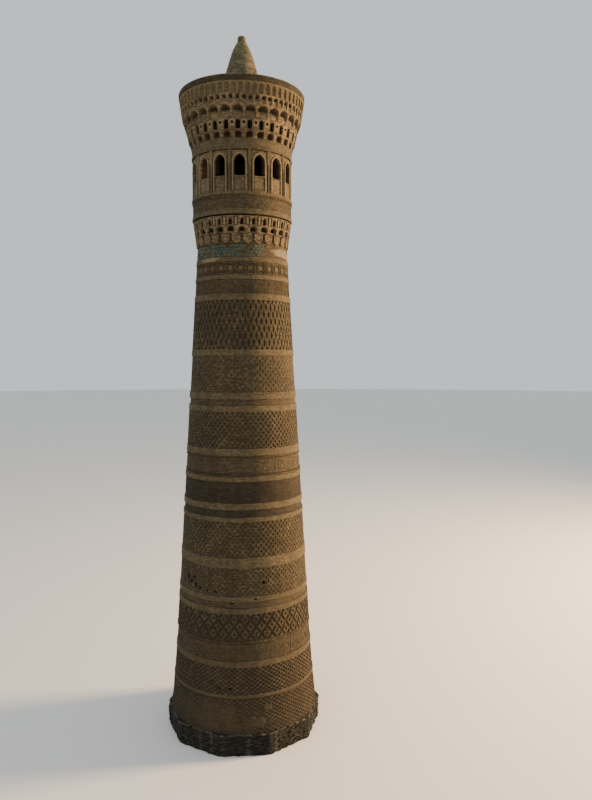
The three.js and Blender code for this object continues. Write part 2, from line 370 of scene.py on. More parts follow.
@dataclass(frozen=True)
class GlazeFinish(Finish):
    """Turquoise glaze on brick tiles, darkened and crazed with age."""

    deep: str
    bright: str
    mark: str
    worn: str

    def paint(self, bench: NodeBench) -> None:
        """Mixes the glaze with dark brush marks and places where it has flaked.

        Args:
            bench: Where the nodes go.
        """
        place = bench.place()
        tone = bench.math("MULTIPLY", bench.attribute("tone"), 0.5)
        tone = bench.math("MULTIPLY_ADD", bench.noise(place, 60.0, 5.0), 0.5, tone)
        glaze = bench.mix(tone, linear(self.deep), linear(self.bright))
        marks = bench.span(bench.noise(place, 95.0, 2.0), 0.52, 0.58, 0.0, 0.85)
        glaze = bench.mix(marks, glaze, linear(self.mark))
        flaked = bench.span(bench.noise(place, 38.0, 6.0, 0.7), 0.49, 0.58)
        colour = bench.mix(flaked, glaze, linear(self.worn))
        cells = {"Vector": place, "Scale": 170.0}
        crazing = bench.add("ShaderNodeTexVoronoi", cells, feature="DISTANCE_TO_EDGE").outputs["Distance"]
        roughness = bench.math("MULTIPLY_ADD", flaked, 0.3, 0.58)
        self.surface(bench, colour, roughness, bench.span(crazing, 0.0, 0.06), 0.004, coat=0.03)


@dataclass(frozen=True)
class PlasterFinish(Finish):
    """Lime plaster bed left bare where glazed tiles have fallen."""

    pale: str
    brown: str
    blue: str

    def paint(self, bench: NodeBench) -> None:
        """Mixes pale plaster with brown patches and traces of blue.

        Args:
            bench: Where the nodes go.
        """
        place = bench.place()
        patches = bench.span(bench.noise(place, 9.0, 6.0, 0.65), 0.46, 0.6)
        colour = bench.mix(patches, linear(self.pale), linear(self.brown))
        traces = bench.span(bench.noise(place, 30.0, 4.0), 0.55, 0.66, 0.0, 0.7)
        colour = bench.mix(traces, colour, linear(self.blue))
        grain = bench.noise(place, 180.0, 8.0, 0.7)
        colour = bench.mix(bench.span(grain, 0.35, 0.7, 0.0, 0.35), colour, linear(self.brown))
        self.surface(bench, colour, bench.span(grain, 0.3, 0.7, 0.8, 0.96), grain, 0.03)


@dataclass(frozen=True)
class StudioFinish(Finish):
    """The studio floor's pale matt card."""

    tint: str
    mottle: str

    def paint(self, bench: NodeBench) -> None:
        """Gives the card a very faint mottle.

        Args:
            bench: Where the nodes go.
        """
        cloud = bench.noise(bench.place(), 1.5)
        colour = bench.mix(bench.math("MULTIPLY", cloud, 0.04), linear(self.tint), linear(self.mottle))
        self.surface(bench, colour, 0.9, cloud, 0.001)


RELIEF_BRICK = BrickFinish("relief_brick", "#3a3122", "#4b412d", "#5f543e", "#322b20", coursed=False)
GROOVE_BRICK = BrickFinish("groove_brick", "#3b3222", "#4a3f2c", "#5a4e39", "#342c1e", joint="#2f281c")
# Brick darkened with painted shade, for beds behind the relief, hole walls and grooves; the deep one darker
# still.
PAINTED_SHADE_BRICK = BrickFinish(
    "painted_shade_brick", "#33291c", "#3f3524", "#4b402f", "#2d261b", joint="#2b241a", streaked=0.1
)
DEEP_PAINTED_SHADE_BRICK = replace(PAINTED_SHADE_BRICK, name="deep_painted_shade_brick", dark="#2a2217", mid="#352c1e", pale="#413728")
BORDER_BRICK = BrickFinish(
    "border_brick", "#483d28", "#594d36", "#695c44", "#3d3627", joint="#3a3124", bricks_round=120
)
LAID_BORDER_BRICK = replace(BORDER_BRICK, name="laid_border_brick", coursed=False)
DARK_BRICK = BrickFinish("dark_brick", "#2b251a", "#362e21", "#433b2c", "#251f17", coursed=False)
DARK_GROOVE = replace(DARK_BRICK, name="dark_groove_brick", coursed=True, joint="#292219")
CORNICE_BRICK = BrickFinish(
    "worn_cornice_brick", "#4d412c", "#68593f", "#867658", "#3e3525", shade="#24170c", bricks_round=112,
    stained=0.6,
)
RIM_BRICK = replace(
    GROOVE_BRICK, name="rim_brick", dark="#2c261b", mid="#3a3122", pale="#4b412e", stain="#27221a",
    stained=0.6, streaked=0.5,
)
SLOT_BRICK = replace(
    CORNICE_BRICK, name="slot_brick", dark="#584b33", pale="#75674a", joint="#5f5239", bricks_round=120,
    stained=0.25, streaked=0.1,
)
# Near-black brick that stands in for shade under the dome and the drum's lip: painted shade.
CEILING_PAINTED_SHADE = BrickFinish(
    "shaded_ceiling_brick", "#1a150e", "#241d13", "#2f2619", "#15110b", joint="#120e09"
)
PLINTH_BRICK = BrickFinish(
    "rough_plinth_brick", "#22211c", "#3a382f", "#67645a", "#1f1e1a", coursed=False, stained=0.75,
    streaked=0.8, bloomed=0.55,
)
PLINTH_BED = BrickFinish(
    "plinth_bed", "#1b1915", "#29261f", "#3b372d", "#191713", joint="#151310", streaked=0.5
)
COPING_BRICK = BrickFinish(
    "coping_brick", "#45433a", "#5f5c4e", "#7b7868", "#413f34", coursed=False, streaked=0.5, bloomed=0.3
)
ROOF_BRICK = BrickFinish(
    "bleached_roof_brick", "#494029", "#61553d", "#776a4f", "#40392b", bricks_round=90, stained=0.6,
    paved=True,
)
CONE_BED = replace(ROOF_BRICK, name="cone_bed", dark="#4a3f2c", mid="#5c5039", pale="#6c6048")
CONE_BRICK = BrickFinish("cone_brick", "#504834", "#676048", "#7f765c", "#48432f", coursed=False, stained=0.4)
GLAZE = GlazeFinish("turquoise_glaze", "#26362e", "#455549", "#1a1f1b", "#54482f")
PLASTER = PlasterFinish("bare_plaster", "#786a4e", "#54462f", "#5d625a")
CARD = StudioFinish("pale_card", "#e3e1dc", "#c9c6c0")


def bridge(worked: Worked, low: Sequence[Corner], high: Sequence[Corner]) -> list[bmesh.types.BMFace]:
    """Joins two closed rows of vertices with faces, triangles where a row is one point.

    Args:
        worked: The mesh that the faces go into.
        low: The first row.
        high: The second row, of the same length.

    Returns:
        The new faces.
    """
    following = [(i, (i + 1) % len(low)) for i in range(len(low))]
    return [worked.faces.new(list(dict.fromkeys((low[i], low[k], high[k], high[i])))) for i, k in following]


def baked(worked: Worked, name: str, *finishes: Finish) -> Mesh:
    """Ends worked geometry as a mesh in its finishes.

    Args:
        worked: The geometry, which is freed.
        name: The mesh's name.
        finishes: Its finishes, in the order of their slots.

    Returns:
        The mesh.
    """
    mesh = bpy.data.meshes.new(name)
    worked.to_mesh(mesh)
    worked.free()
    for finish in finishes:
        mesh.materials.append(finish.material())
    return mesh


def smoothed(mesh: Mesh) -> Mesh:
    """Shades a mesh smooth between sharp edges.

    Args:
        mesh: The mesh to shade.

    Returns:
        The same mesh.
    """
    mesh.shade_smooth()
    mesh.set_sharp_from_angle(angle=SMOOTH_ANGLE)
    return mesh


def face_outwards(worked: Worked) -> None:
    """Turns the faces of closed geometry outwards."""
    bmesh.ops.recalc_face_normals(worked, faces=worked.faces)


def tidy_mesh(mesh: Mesh, recalculate: bool = False) -> None:
    """Welds a mesh, turns its faces outwards if asked, and shades it smooth between sharp edges.

    Args:
        mesh: The mesh to change.
        recalculate: Whether its faces are turned outwards.
    """
    worked = bmesh.new()
    worked.from_mesh(mesh)
    bmesh.ops.remove_doubles(worked, verts=worked.verts, dist=WELD_DISTANCE)
    bmesh.ops.dissolve_degenerate(worked, edges=worked.edges, dist=WELD_DISTANCE / 4)
    if recalculate:
        face_outwards(worked)
    worked.to_mesh(mesh)
    worked.free()
    smoothed(mesh)


def placed(name: str, data: bpy.types.ID) -> Object:
    """Puts a mesh, a light or a camera into the scene as an object at the origin.

    Args:
        name: The object's name.
        data: What the object shows.

    Returns:
        The object.
    """
    piece = bpy.data.objects.new(name, data)
    bpy.context.scene.collection.objects.link(piece)
    return piece


def hand_over(piece: Object, slot: str, *nodes: str) -> None:
    """Fixes a finished piece to the tower.

    Args:
        piece: The finished piece.
        slot: The record's material slot that it belongs to; not used.
        nodes: The solids that it stands for.
    """
    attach(piece, "root")
    if nodes:
        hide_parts(*nodes)
    log.info("%s: %d faces", piece.name, len(piece.data.polygons))


def evaluated(piece: Object) -> None:
    """Turns a piece's modifiers into plain mesh.

    Args:
        piece: The piece to change.
    """
    depsgraph = bpy.context.evaluated_depsgraph_get()
    mesh = bpy.data.meshes.new_from_object(
        piece.evaluated_get(depsgraph), preserve_all_data_layers=True, depsgraph=depsgraph
    )
    piece.modifiers.clear()
    piece.data = mesh


def weather(mesh: Mesh, amount: float, seed: int) -> None:
    """Pushes a mesh in and out a little, so that no ring is machine-made.

    Args:
        mesh: The mesh to change.
        amount: The largest push, in full-size metres.
        seed: Which stretch of noise is used.
    """
    for vertex in mesh.vertices:
        place = vertex.co
        flat = Vector((place.x, place.y, 0.0))
        if flat.length < model(CALM_RADIUS):
            continue
        push = noise.noise(place * WEATHER_SCALE + Vector((seed, 0.0, 0.0)))
        vertex.co = place + flat.normalized() * push * model(amount)


class GrowthTree:
    """A Geometry Nodes tree with named sizes, run on a mesh to make a plain piece."""

    def __init__(self, name: str) -> None:
        """Starts a tree that takes and gives a mesh.

        Args:
            name: The tree's name.
        """
        self.group = bpy.data.node_groups.new(name, "GeometryNodeTree")
        self.bench = NodeBench(self.group)
        for way in ("OUTPUT", "INPUT"):
            self.group.interface.new_socket("Geometry", in_out=way, socket_type="NodeSocketGeometry")
        self.start = self.group.nodes.new("NodeGroupInput")
        self.build(self.start.outputs["Geometry"])

    def size(self, name: str, kind: str = "NodeSocketFloat") -> Socket:
        """Adds a named input to the tree and returns its socket."""
        self.group.interface.new_socket(name, in_out="INPUT", socket_type=kind)
        return self.start.outputs[name]

    def build(self, geometry: Socket) -> None:
        """Builds the tree's nodes."""
        raise NotImplementedError

    def real_copies(self, points: Socket, seed: Socket, **inputs: Value) -> Socket:
        """Puts a copy on each point, gives it a tone of its own, and makes it plain mesh.

        Args:
            points: Where the copies stand.
            seed: Seed of their tones.
            inputs: What is copied, and how each copy is turned or scaled.

        Returns:
            The copies, as one mesh.
        """
        copies = self.bench.result("GeometryNodeInstanceOnPoints", {"Points": points, **inputs})
        toned = {"Geometry": copies, "Name": "tone", "Value": self.bench.random(seed)}
        tinted = self.bench.result(
            "GeometryNodeStoreNamedAttribute", toned, data_type="FLOAT", domain="INSTANCE"
        )
        return self.bench.result("GeometryNodeRealizeInstances", {"Geometry": tinted})

    def finish(self, geometry: Socket) -> None:
        """Ends the tree in one finish."""
        inputs = {"Geometry": geometry, "Material": self.size("Finish", "NodeSocketMaterial")}
        self.bench.add("NodeGroupOutput", {0: self.bench.result("GeometryNodeSetMaterial", inputs)})

    def grow(self, name: str, seedling: Mesh, finish: Finish, sizes: dict[str, Value]) -> Object:
        """Runs the tree.

        Args:
            name: The new piece's name.
            seedling: The mesh that the tree works on.
            finish: The finish of the whole piece.
            sizes: A value for each named input.

        Returns:
            The piece, as plain mesh.
        """
        piece = placed(name, seedling)
        modifier = piece.modifiers.new(self.group.name, "NODES")
        modifier.node_group = self.group
        values = {**sizes, "Finish": finish.material()}
        for item in self.group.interface.items_tree:
            if item.in_out == "INPUT" and item.name in values:
                modifier[item.identifier] = values[item.name]
        evaluated(piece)
        return piece


class LaidBricks(GrowthTree):
    """Lays one brick on each point of an unrolled wall, then rolls the wall up.

    A point's X is its angle, Z its height, and its "size" attribute holds the brick's angle, depth and
    height.
    """

    def build(self, geometry: Socket) -> None:
        """Lays, tints and rolls the bricks.

        Args:
            geometry: The points of the unrolled wall.
        """
        bench = self.bench
        seed = self.size("Seed", "NodeSocketInt")
        uneven = self.size("Unevenness")
        named = bench.add("GeometryNodeInputNamedAttribute", {"Name": "size"}, data_type="FLOAT_VECTOR")
        spans = bench.add("ShaderNodeSeparateXYZ", {0: named.outputs["Attribute"]})
        least, most = (bench.math(sign, 1.0, uneven) for sign in ("SUBTRACT", "ADD"))
        deep = bench.math("MULTIPLY", spans.outputs["Y"], bench.random(seed, least, most))
        scale = bench.vector(spans.outputs["X"], deep, spans.outputs["Z"])
        whole = self.real_copies(geometry, bench.math("ADD", seed, 1.0), Instance=self.brick(), Scale=scale)
        self.finish(bench.result("GeometryNodeSetPosition", {"Geometry": whole, "Position": self.roll()}))

    def brick(self) -> Socket:
        """Makes a brick of size one, standing on its back, with its face a little smaller.

        Returns:
            The brick.
        """
        bench = self.bench
        block = bench.result("GeometryNodeMeshCube", {"Size": (1.0, 1.0, 1.0)})
        raised = bench.result("GeometryNodeTransform", {"Geometry": block, "Translation": (0.0, 0.5, 0.0)})
        place = bench.result("GeometryNodeInputPosition")
        parts = bench.add("ShaderNodeSeparateXYZ", {0: place})
        shrink = bench.math("SUBTRACT", 1.0, bench.math("MULTIPLY", parts.outputs["Y"], self.size("Taper")))
        factors = bench.vector(shrink, 1.0, shrink)
        worn = bench.result("ShaderNodeVectorMath", {0: place, 1: factors}, operation="MULTIPLY")
        return bench.result("GeometryNodeSetPosition", {"Geometry": raised, "Position": worn})

    def roll(self) -> Socket:
        """Works out each place on a tapering, bulging or many-sided wall.

        Returns:
            Where each vertex goes.
        """
        bench = self.bench
        place = bench.result("GeometryNodeInputPosition")
        angle, out, height = bench.add("ShaderNodeSeparateXYZ", {0: place}).outputs
        foot, head = self.size("Foot Height"), self.size("Head Height")
        share = bench.math("DIVIDE", bench.math("SUBTRACT", height, foot), bench.math("SUBTRACT", head, foot))
        foot_radius = self.size("Foot Radius")
        growth = bench.math("SUBTRACT", self.size("Head Radius"), foot_radius)
        wall = bench.math("MULTIPLY_ADD", growth, share, foot_radius)
        swell = bench.math("SINE", bench.math("MULTIPLY", bench.math("POWER", share, SWELL_POWER), math.pi))
        wall = bench.math("MULTIPLY_ADD", swell, self.size("Bulge"), wall)
        sector = bench.math("DIVIDE", math.tau, self.size("Sides"))
        half = bench.math("MULTIPLY", sector, 0.5)
        turned = bench.math("ADD", bench.math("SUBTRACT", angle, self.size("Turn")), half)
        local = bench.math("SUBTRACT", bench.math("FLOORED_MODULO", turned, sector), half)
        flat = bench.math("DIVIDE", wall, bench.math("COSINE", local))
        radius = bench.math("SUBTRACT", bench.math("ADD", flat, out), self.size("Sunk"))
        x = bench.math("MULTIPLY", radius, bench.math("SINE", angle))
        y = bench.math("MULTIPLY", radius, bench.math("MULTIPLY", bench.math("COSINE", angle), -1.0))
        return bench.vector(x, y, height)


class RingOfCopies(GrowthTree):
    """Repeats a mesh at equal angles round the axis and welds what touches."""

    def build(self, geometry: Socket) -> None:
        """Turns the copies round the axis.

        Args:
            geometry: The mesh that is repeated.
        """
        bench = self.bench
        count = self.size("Count", "NodeSocketInt")
        origin = bench.result("GeometryNodeMeshLine", {"Count": count, "Offset": (0.0, 0.0, 0.0)})
        index = bench.result("GeometryNodeInputIndex")
        step = bench.math("DIVIDE", math.tau, count)
        angle = bench.math("MULTIPLY_ADD", index, step, self.size("First Angle"))
        turn = bench.vector(0.0, 0.0, angle)
        whole = self.real_copies(origin, self.size("Seed", "NodeSocketInt"), Instance=geometry, Rotation=turn)
        welding = {"Geometry": whole, "Distance": WELD_DISTANCE}
        self.finish(bench.result("GeometryNodeMergeByDistance", welding))


class Bond(Enum):
    """The ways in which relief bricks are laid."""

    CROSS_HATCH = "short bricks with wide joints, half a pitch apart from course to course"
    LATTICE = "bars that cross and leave lozenge holes"
    NESTED = "lozenge rings between crossing grooves"
    PANEL = "square frames with a square in each"
    FRET = "small hooked bars between two plain courses"
    CHEVRON = "broken bars that lean to and fro"
    SOLID = "bricks side by side"

    def relief(self, across: float, up: float, course: int, bars: float) -> float:
        """Says how far a brick stands out at a place.

        Args:
            across: Place across the repeat, in repeats.
            up: Height in repeats.
            course: Number of the course.
            bars: Where a lattice's bars start, from 0 in a hole's middle to 1 in a bar's.

        Returns:
            A share of the full relief, or zero where there is no brick.
        """
        aside, above = abs(2 * frac(across) - 1), abs(2 * frac(up) - 1)
        ring = min(aside + above, 2 - (aside + above))
        match self:
            case Bond.CROSS_HATCH:
                return float(abs(frac(across + 0.5 * (course % 2)) - 0.5) < HATCH_REACH)
            case Bond.LATTICE:
                return float(ring > bars) or 0.5 * (ring > bars - BAR_STEP)
            case Bond.NESTED:
                return float(0.24 < ring < 0.74)
            case Bond.PANEL:
                edge = max(aside, above)
                return 1.0 if edge > 0.82 else 0.85 * (edge < 0.5)
            case Bond.FRET:
                row = FRET_MOTIF[-1 - int(frac(up) * len(FRET_MOTIF))]
                return float(row[int(frac(across) * len(row))] == "#")
            case Bond.CHEVRON:
                place = frac(across + abs(frac(up) - 0.5) * CHEVRON_LEAN)
                return float(place < 0.3) or 0.8 * (0.5 < place < 0.72 and course % 3 > 0)
            case _:
                return 1.0


@dataclass(frozen=True)
class Hole:
    """A hole broken into the wall, with the bricks round it gone."""

    degrees: float
    height: float
    width: float = 0.2
    tall: float = 0.16

    def covers(self, degrees: float, height: float) -> bool:
        """Says whether a place lies in the hole or on its broken edge."""
        aside = abs(math.radians(turn_from(degrees, self.degrees)) * MIDDLE_RADIUS)
        return aside < self.width * BROKEN_EDGE and abs(height - self.height) < self.tall * BROKEN_EDGE


@dataclass(frozen=True)
class Wear:
    """A stretch of wall where the relief has worn down or was patched smooth."""

    degrees: float
    height: float
    reach: float
    tall: float
    left: float

    def share(self, degrees: float, height: float) -> float:
        """Says how much of the relief is left at a place.

        Args:
            degrees: Angle of the place.
            height: Its height.

        Returns:
            A share of the full relief.
        """
        aside = turn_from(degrees, self.degrees) / self.reach
        above = (height - self.height) / self.tall
        inside = 1.0 - min(1.0, math.hypot(aside, above) ** 4)
        return lerp(1.0, self.left, inside)


@dataclass(frozen=True)
class Mend:
    """A ragged patch of wall that is worn or plastered smooth."""

    degrees: float
    height: float
    half_turn: float
    half_tall: float
    lift: float = 0.0
    finish: Finish = GROOVE_BRICK

    def reach(self, angle: float) -> float:
        """How far the patch reaches in a direction, as a share of its half sizes.

        Args:
            angle: The direction, in radians.

        Returns:
            The reach.
        """
        place = Vector((1.7 * math.cos(angle), 1.7 * math.sin(angle), self.degrees))
        square = max(abs(math.cos(angle)), abs(math.sin(angle))) ** -0.6
        return square * (0.85 + 0.4 * noise.noise(place) + 0.12 * noise.noise(place * 5))

    def covers(self, degrees: float, height: float) -> bool:
        """Says whether a place lies under the patch.

        Args:
            degrees: Angle of the place.
            height: Its height.

        Returns:
            Whether the patch covers it.
        """
        aside = turn_from(degrees, self.degrees) / self.half_turn
        above = (height - self.height) / self.half_tall
        return math.hypot(aside, above) < self.reach(math.atan2(above, aside))


HOLES = (
    Hole(-54, 10.6, 0.28, 0.5),
    Hole(-50, 10.35, 0.34, 0.4),
    Hole(-46, 10.62, 0.22, 0.3),
    Hole(-43, 10.2, 0.3, 0.3),
    Hole(-38, 10.06, 0.24, 0.22),
    Hole(-30, 10.02),
    Hole(-22, 10.0),
    Hole(2.3, 10.6, 0.22, 0.2),
    Hole(20.2, 10.58, 0.3, 0.24),
    Hole(-8.6, 9.84, 0.32, 0.2),
    Hole(-7.7, 9.36, 0.36, 0.18),
    Hole(13, 9.62, 0.22, 0.16),
    Hole(-68, 8.2, 0.26, 0.3),
    Hole(-68, 7.75, 0.24, 0.3),
    Hole(-16.5, 4.08, 0.2, 0.16),
    Hole(-8, 4.1, 0.3, 0.18),
    Hole(158, 10.4, 0.26, 0.24),
    Hole(205, 9.9, 0.24, 0.2),
    Hole(128, 4.4, 0.24, 0.2),
    Hole(235, 19.6, 0.2, 0.2),
)
WORN = (
    Wear(-22, 2.3, 52, 1.1, 0.2),
    Wear(150, 2.0, 30, 0.8, 0.3),
    Wear(-100, 2.4, 26, 0.7, 0.4),
    Wear(15, 6.3, 22, 0.5, 0.5),
)
MENDS = (
    Mend(-38, 2.3, 12, 0.8),
    Mend(-22, 2.1, 11, 0.62),
    Mend(-24, 2.95, 9, 0.34),
    Mend(-9, 2.5, 10, 0.56),
    Mend(-5, 1.8, 9, 0.34),
    Mend(9, 2.0, 9, 0.46),
    Mend(21, 2.9, 4, 0.2),
    Mend(-42, 30.7, 17, 0.15, 0.032, PLASTER),
    Mend(60, 31.24, 26, 0.32, 0.0, PLASTER),
    Mend(150, 2.2, 12, 0.5),
    Mend(-110, 2.3, 10, 0.42),
    Mend(215, 4.6, 8, 0.3),
)


def relief_left(angle: float, height: float) -> float:
    """Says how much relief wear, mends and holes leave at a place.

    Args:
        angle: Angle round the tower, in radians.
        height: Height over the ground.

    Returns:
        A share from zero, where the brick is gone, to one.
    """
    degrees = math.degrees(angle)
    if any(gap.covers(degrees, height) for gap in (*HOLES, *MENDS)):
        return 0.0
    return math.prod(worn.share(degrees, height) for worn in WORN)


@dataclass(frozen=True)
class Wall:
    """A stretch of round or many-sided wall that bricks are laid on."""

    foot: float
    head: float
    foot_radius: float
    head_radius: float
    bulge: float = 0.0
    sides: int = 360
    turn: float = 0.0

    def radius(self, height: float) -> float:
        """The wall's radius at a height.

        Args:
            height: The height.

        Returns:
            The radius.
        """
        share = (height - self.foot) / (self.head - self.foot)
        swell = self.bulge * math.sin(math.pi * share**SWELL_POWER)
        return lerp(self.foot_radius, self.head_radius, share) + swell

    def sizes(self) -> dict[str, Value]:
        """The wall's sizes as the brick tree's inputs.

        Returns:
            A value for each named input.
        """
        return {
            "Foot Height": model(self.foot),
            "Head Height": model(self.head),
            "Foot Radius": model(self.foot_radius),
            "Head Radius": model(self.head_radius),
            "Bulge": model(self.bulge),
            "Sides": float(self.sides),
            "Turn": self.turn,
        }


@dataclass(frozen=True)
class Brickwork:
    """One band of relief bricks in a bond."""

    bond: Bond
    foot: float
    head: float
    columns: int
    courses: int
    repeats: float = 1.0
    relief: float = 0.045
    joint: float = 0.012
    longest: float = 0.34
    lost: float = 0.006
    uneven: float = 0.16
    taper: float = 0.1
    samples: int = 30
    phase: float = 0.0
    rise: float = 0.0
    bars: float = 0.54

    def runs(self, course: int) -> list[tuple[float, float, float]]:
        """Finds the stretches of one course that stand out alike.

        Args:
            course: Number of the course, from the band's foot.

        Returns:
            The start, length and relief of each stretch, in repeats across and shares of the relief.
        """
        up = (course + 0.5) / self.courses * self.repeats + self.rise
        count = self.samples
        reliefs = [self.bond.relief((i + 0.5) / count, up, course, self.bars) for i in range(count)]
        turns = [i for i in range(count) if reliefs[i] != reliefs[i - 1]]
        if not turns:
            return [(0.5 * (course % 2), 1.0, reliefs[0])]
        ends = turns[1:] + [turns[0] + count]
        return [(a / count, (b - a) / count, reliefs[a]) for a, b in zip(turns, ends) if reliefs[a]]

    def layout(self, wall: Wall, seed: int) -> Mesh:
        """Sets out the bricks on the unrolled wall.

        Args:
            wall: The wall that they are laid on.
            seed: Seed of the bricks that are lost.

        Returns:
            A mesh of points, each with its brick's size.
        """
        chance = random.Random(seed)
        tall = (self.head - self.foot) / self.courses
        pitch = math.tau / self.columns
        points: list[tuple[float, float, float]] = []
        sizes: list[float] = []
        for course in range(self.courses):
            height = self.foot + (course + 0.5) * tall
            radius = wall.radius(height)
            gap = self.joint / radius
            for start, length, relief in self.runs(course):
                count = max(1, math.ceil(length * pitch * radius / self.longest))
                span = length * pitch / count
                for column in range(self.columns):
                    for part in range(count):
                        angle = (column + start + self.phase) * pitch + (part + 0.5) * span
                        angle = (angle + math.pi) % math.tau - math.pi
                        left = relief_left(angle, height)
                        if chance.random() < self.lost or left <= LEAST_RELIEF:
                            continue
                        points.append((angle, 0.0, model(height)))
                        depth = self.relief * relief * left + BRICK_BED
                        sizes += (max(span - gap, span * 0.4), model(depth), model(tall - self.joint))
        mesh = bpy.data.meshes.new("brick_layout")
        mesh.from_pydata(points, [], [])
        mesh.attributes.new("size", "FLOAT_VECTOR", "POINT").data.foreach_set("vector", sizes)
        return mesh


@dataclass(frozen=True)
class Course:
    """One stretch of a turned outline: where it ends, and its finish."""

    radius: float
    height: float
    finish: Finish = BORDER_BRICK


def courses(finish: Finish, *points: Point) -> list[Course]:
    """A stretch of outline in one finish, from pairs of a radius and a height."""
    return [Course(radius, height, finish) for radius, height in points]


def turned(
    name: str, outline: Sequence[Course], segments: int = 144, lobes: int = 0, swell: float = 0.0
) -> Mesh:
    """Turns an outline round the axis.

    Args:
        name: The mesh's name.
        outline: The closed outline, up the outside and down the inside; a radius of zero is the axis.
        segments: Number of segments.
        lobes: Number of lobes that the outside swells into.
        swell: How far a lobe swells, in full-size metres.

    Returns:
        A closed mesh.
    """
    worked = bmesh.new()
    finishes = list(dict.fromkeys(course.finish for course in outline))
    angles = full_turn(segments)
    out = [swell * abs(math.cos(lobes * a / 2)) if lobes else 0.0 for a in angles]
    rows = []
    for course in outline:
        if course.radius == 0:
            rows.append([worked.verts.new(on_ring(0, 0, course.height))] * segments)
            continue
        places = [on_ring(course.radius + o, a, course.height) for a, o in zip(angles, out)]
        rows.append([worked.verts.new(place) for place in places])
    for i, course in enumerate(outline):
        if outline[i - 1].radius == 0 and course.radius == 0:
            continue
        for face in bridge(worked, rows[i - 1], rows[i]):
            face.material_index = finishes.index(course.finish)
    face_outwards(worked)
    return smoothed(baked(worked, name, *finishes))


def box_outline(half: float, foot: float, head: float) -> tuple[Point, ...]:
    """A rectangle, anticlockwise from its lower left corner."""
    return (-half, foot), (half, foot), (half, head), (-half, head)


def arch_outline(half: float, foot: float, spring: float, apex: float, steps: int = 5) -> tuple[Point, ...]:
    """A pointed arch on straight jambs.

    Args:
        half: Half of its width.
        foot: Height of its foot.
        spring: Height where the curves start.
        apex: Height of its point.
        steps: Steps in each curve.

    Returns:
        Its points, anticlockwise from the lower left corner.
    """
    rise = apex - spring
    centre = (half * half - rise * rise) / (2 * half)
    reach = half - centre
    angles = [math.atan2(rise, -centre) * i / steps for i in range(steps)]
    curve = [(centre + reach * math.cos(a), spring + reach * math.sin(a)) for a in angles]
    left = [(-x, z) for x, z in reversed(curve)]
    return (-half, foot), (half, foot), *curve, (0.0, apex), *left


def drop_outline(half: float, foot: float, shoulder: float, head: float) -> tuple[Point, ...]:
    """A leaf that hangs with its point down, from a straight head."""
    upright = arch_outline(half, -head, -shoulder, -foot)
    return tuple((x, -z) for x, z in reversed(upright))


def round_outline(radius: float, height: float, steps: int = 20) -> tuple[Point, ...]:
    """A circle round (0, height)."""
    return tuple((radius * math.cos(a), height + radius * math.sin(a)) for a in full_turn(steps))


def ray_exit(outline: Sequence[Point], height: float, angle: float) -> Point:
    """Finds where a ray from (0, height) leaves an outline.

    Args:
        outline: The closed outline.
        height: Height of the ray's start.
        angle: The ray's angle.

    Returns:
        The point on the outline.
    """
    along, rise = math.cos(angle), math.sin(angle)
    far = 0.0
    for i, (x, z) in enumerate(outline):
        last_x, last_z = outline[i - 1]
        edge_x, edge_z = x - last_x, z - last_z
        cross = along * edge_z - rise * edge_x
        if abs(cross) < 1e-12:
            continue
        gap_x, gap_z = last_x, last_z - height
        distance = (gap_x * edge_z - gap_z * edge_x) / cross
        share = (gap_x * rise - gap_z * along) / cross
        if distance > far and -1e-9 <= share <= 1 + 1e-9:
            far = distance
    return far * along, height + far * rise


@dataclass(frozen=True)
class Loop:
    """One of a slice's nested outlines, and how far behind the wall's face it lies."""

    outline: tuple[Point, ...]
    back: float = 0.0
    plumb: float = 0.0
    radius: float | None = None


def rectangles(*sizes: tuple[float, float, float, float]) -> tuple[Loop, ...]:
    """Nested rectangles, each from half its width, its foot, its head and how far back it lies."""
    return tuple(Loop(box_outline(half, foot, head), back) for half, foot, head, back in sizes)


def arches(
    *sizes: tuple[float, float, float, float, float], plumb: float = 0.0, steps: int = 5
) -> tuple[Loop, ...]:
    """Nested pointed arches.

    Args:
        sizes: Half the width, foot, spring, apex and how far back it lies, for each arch.
        plumb: How plumb every arch but the outermost hangs.
        steps: Steps in each curve.

    Returns:
        The loops from the outermost inwards.
    """
    plumbs = [0.0] + [plumb] * (len(sizes) - 1)
    return tuple(Loop(arch_outline(*size[:4], steps), size[4], hang) for size, hang in zip(sizes, plumbs))


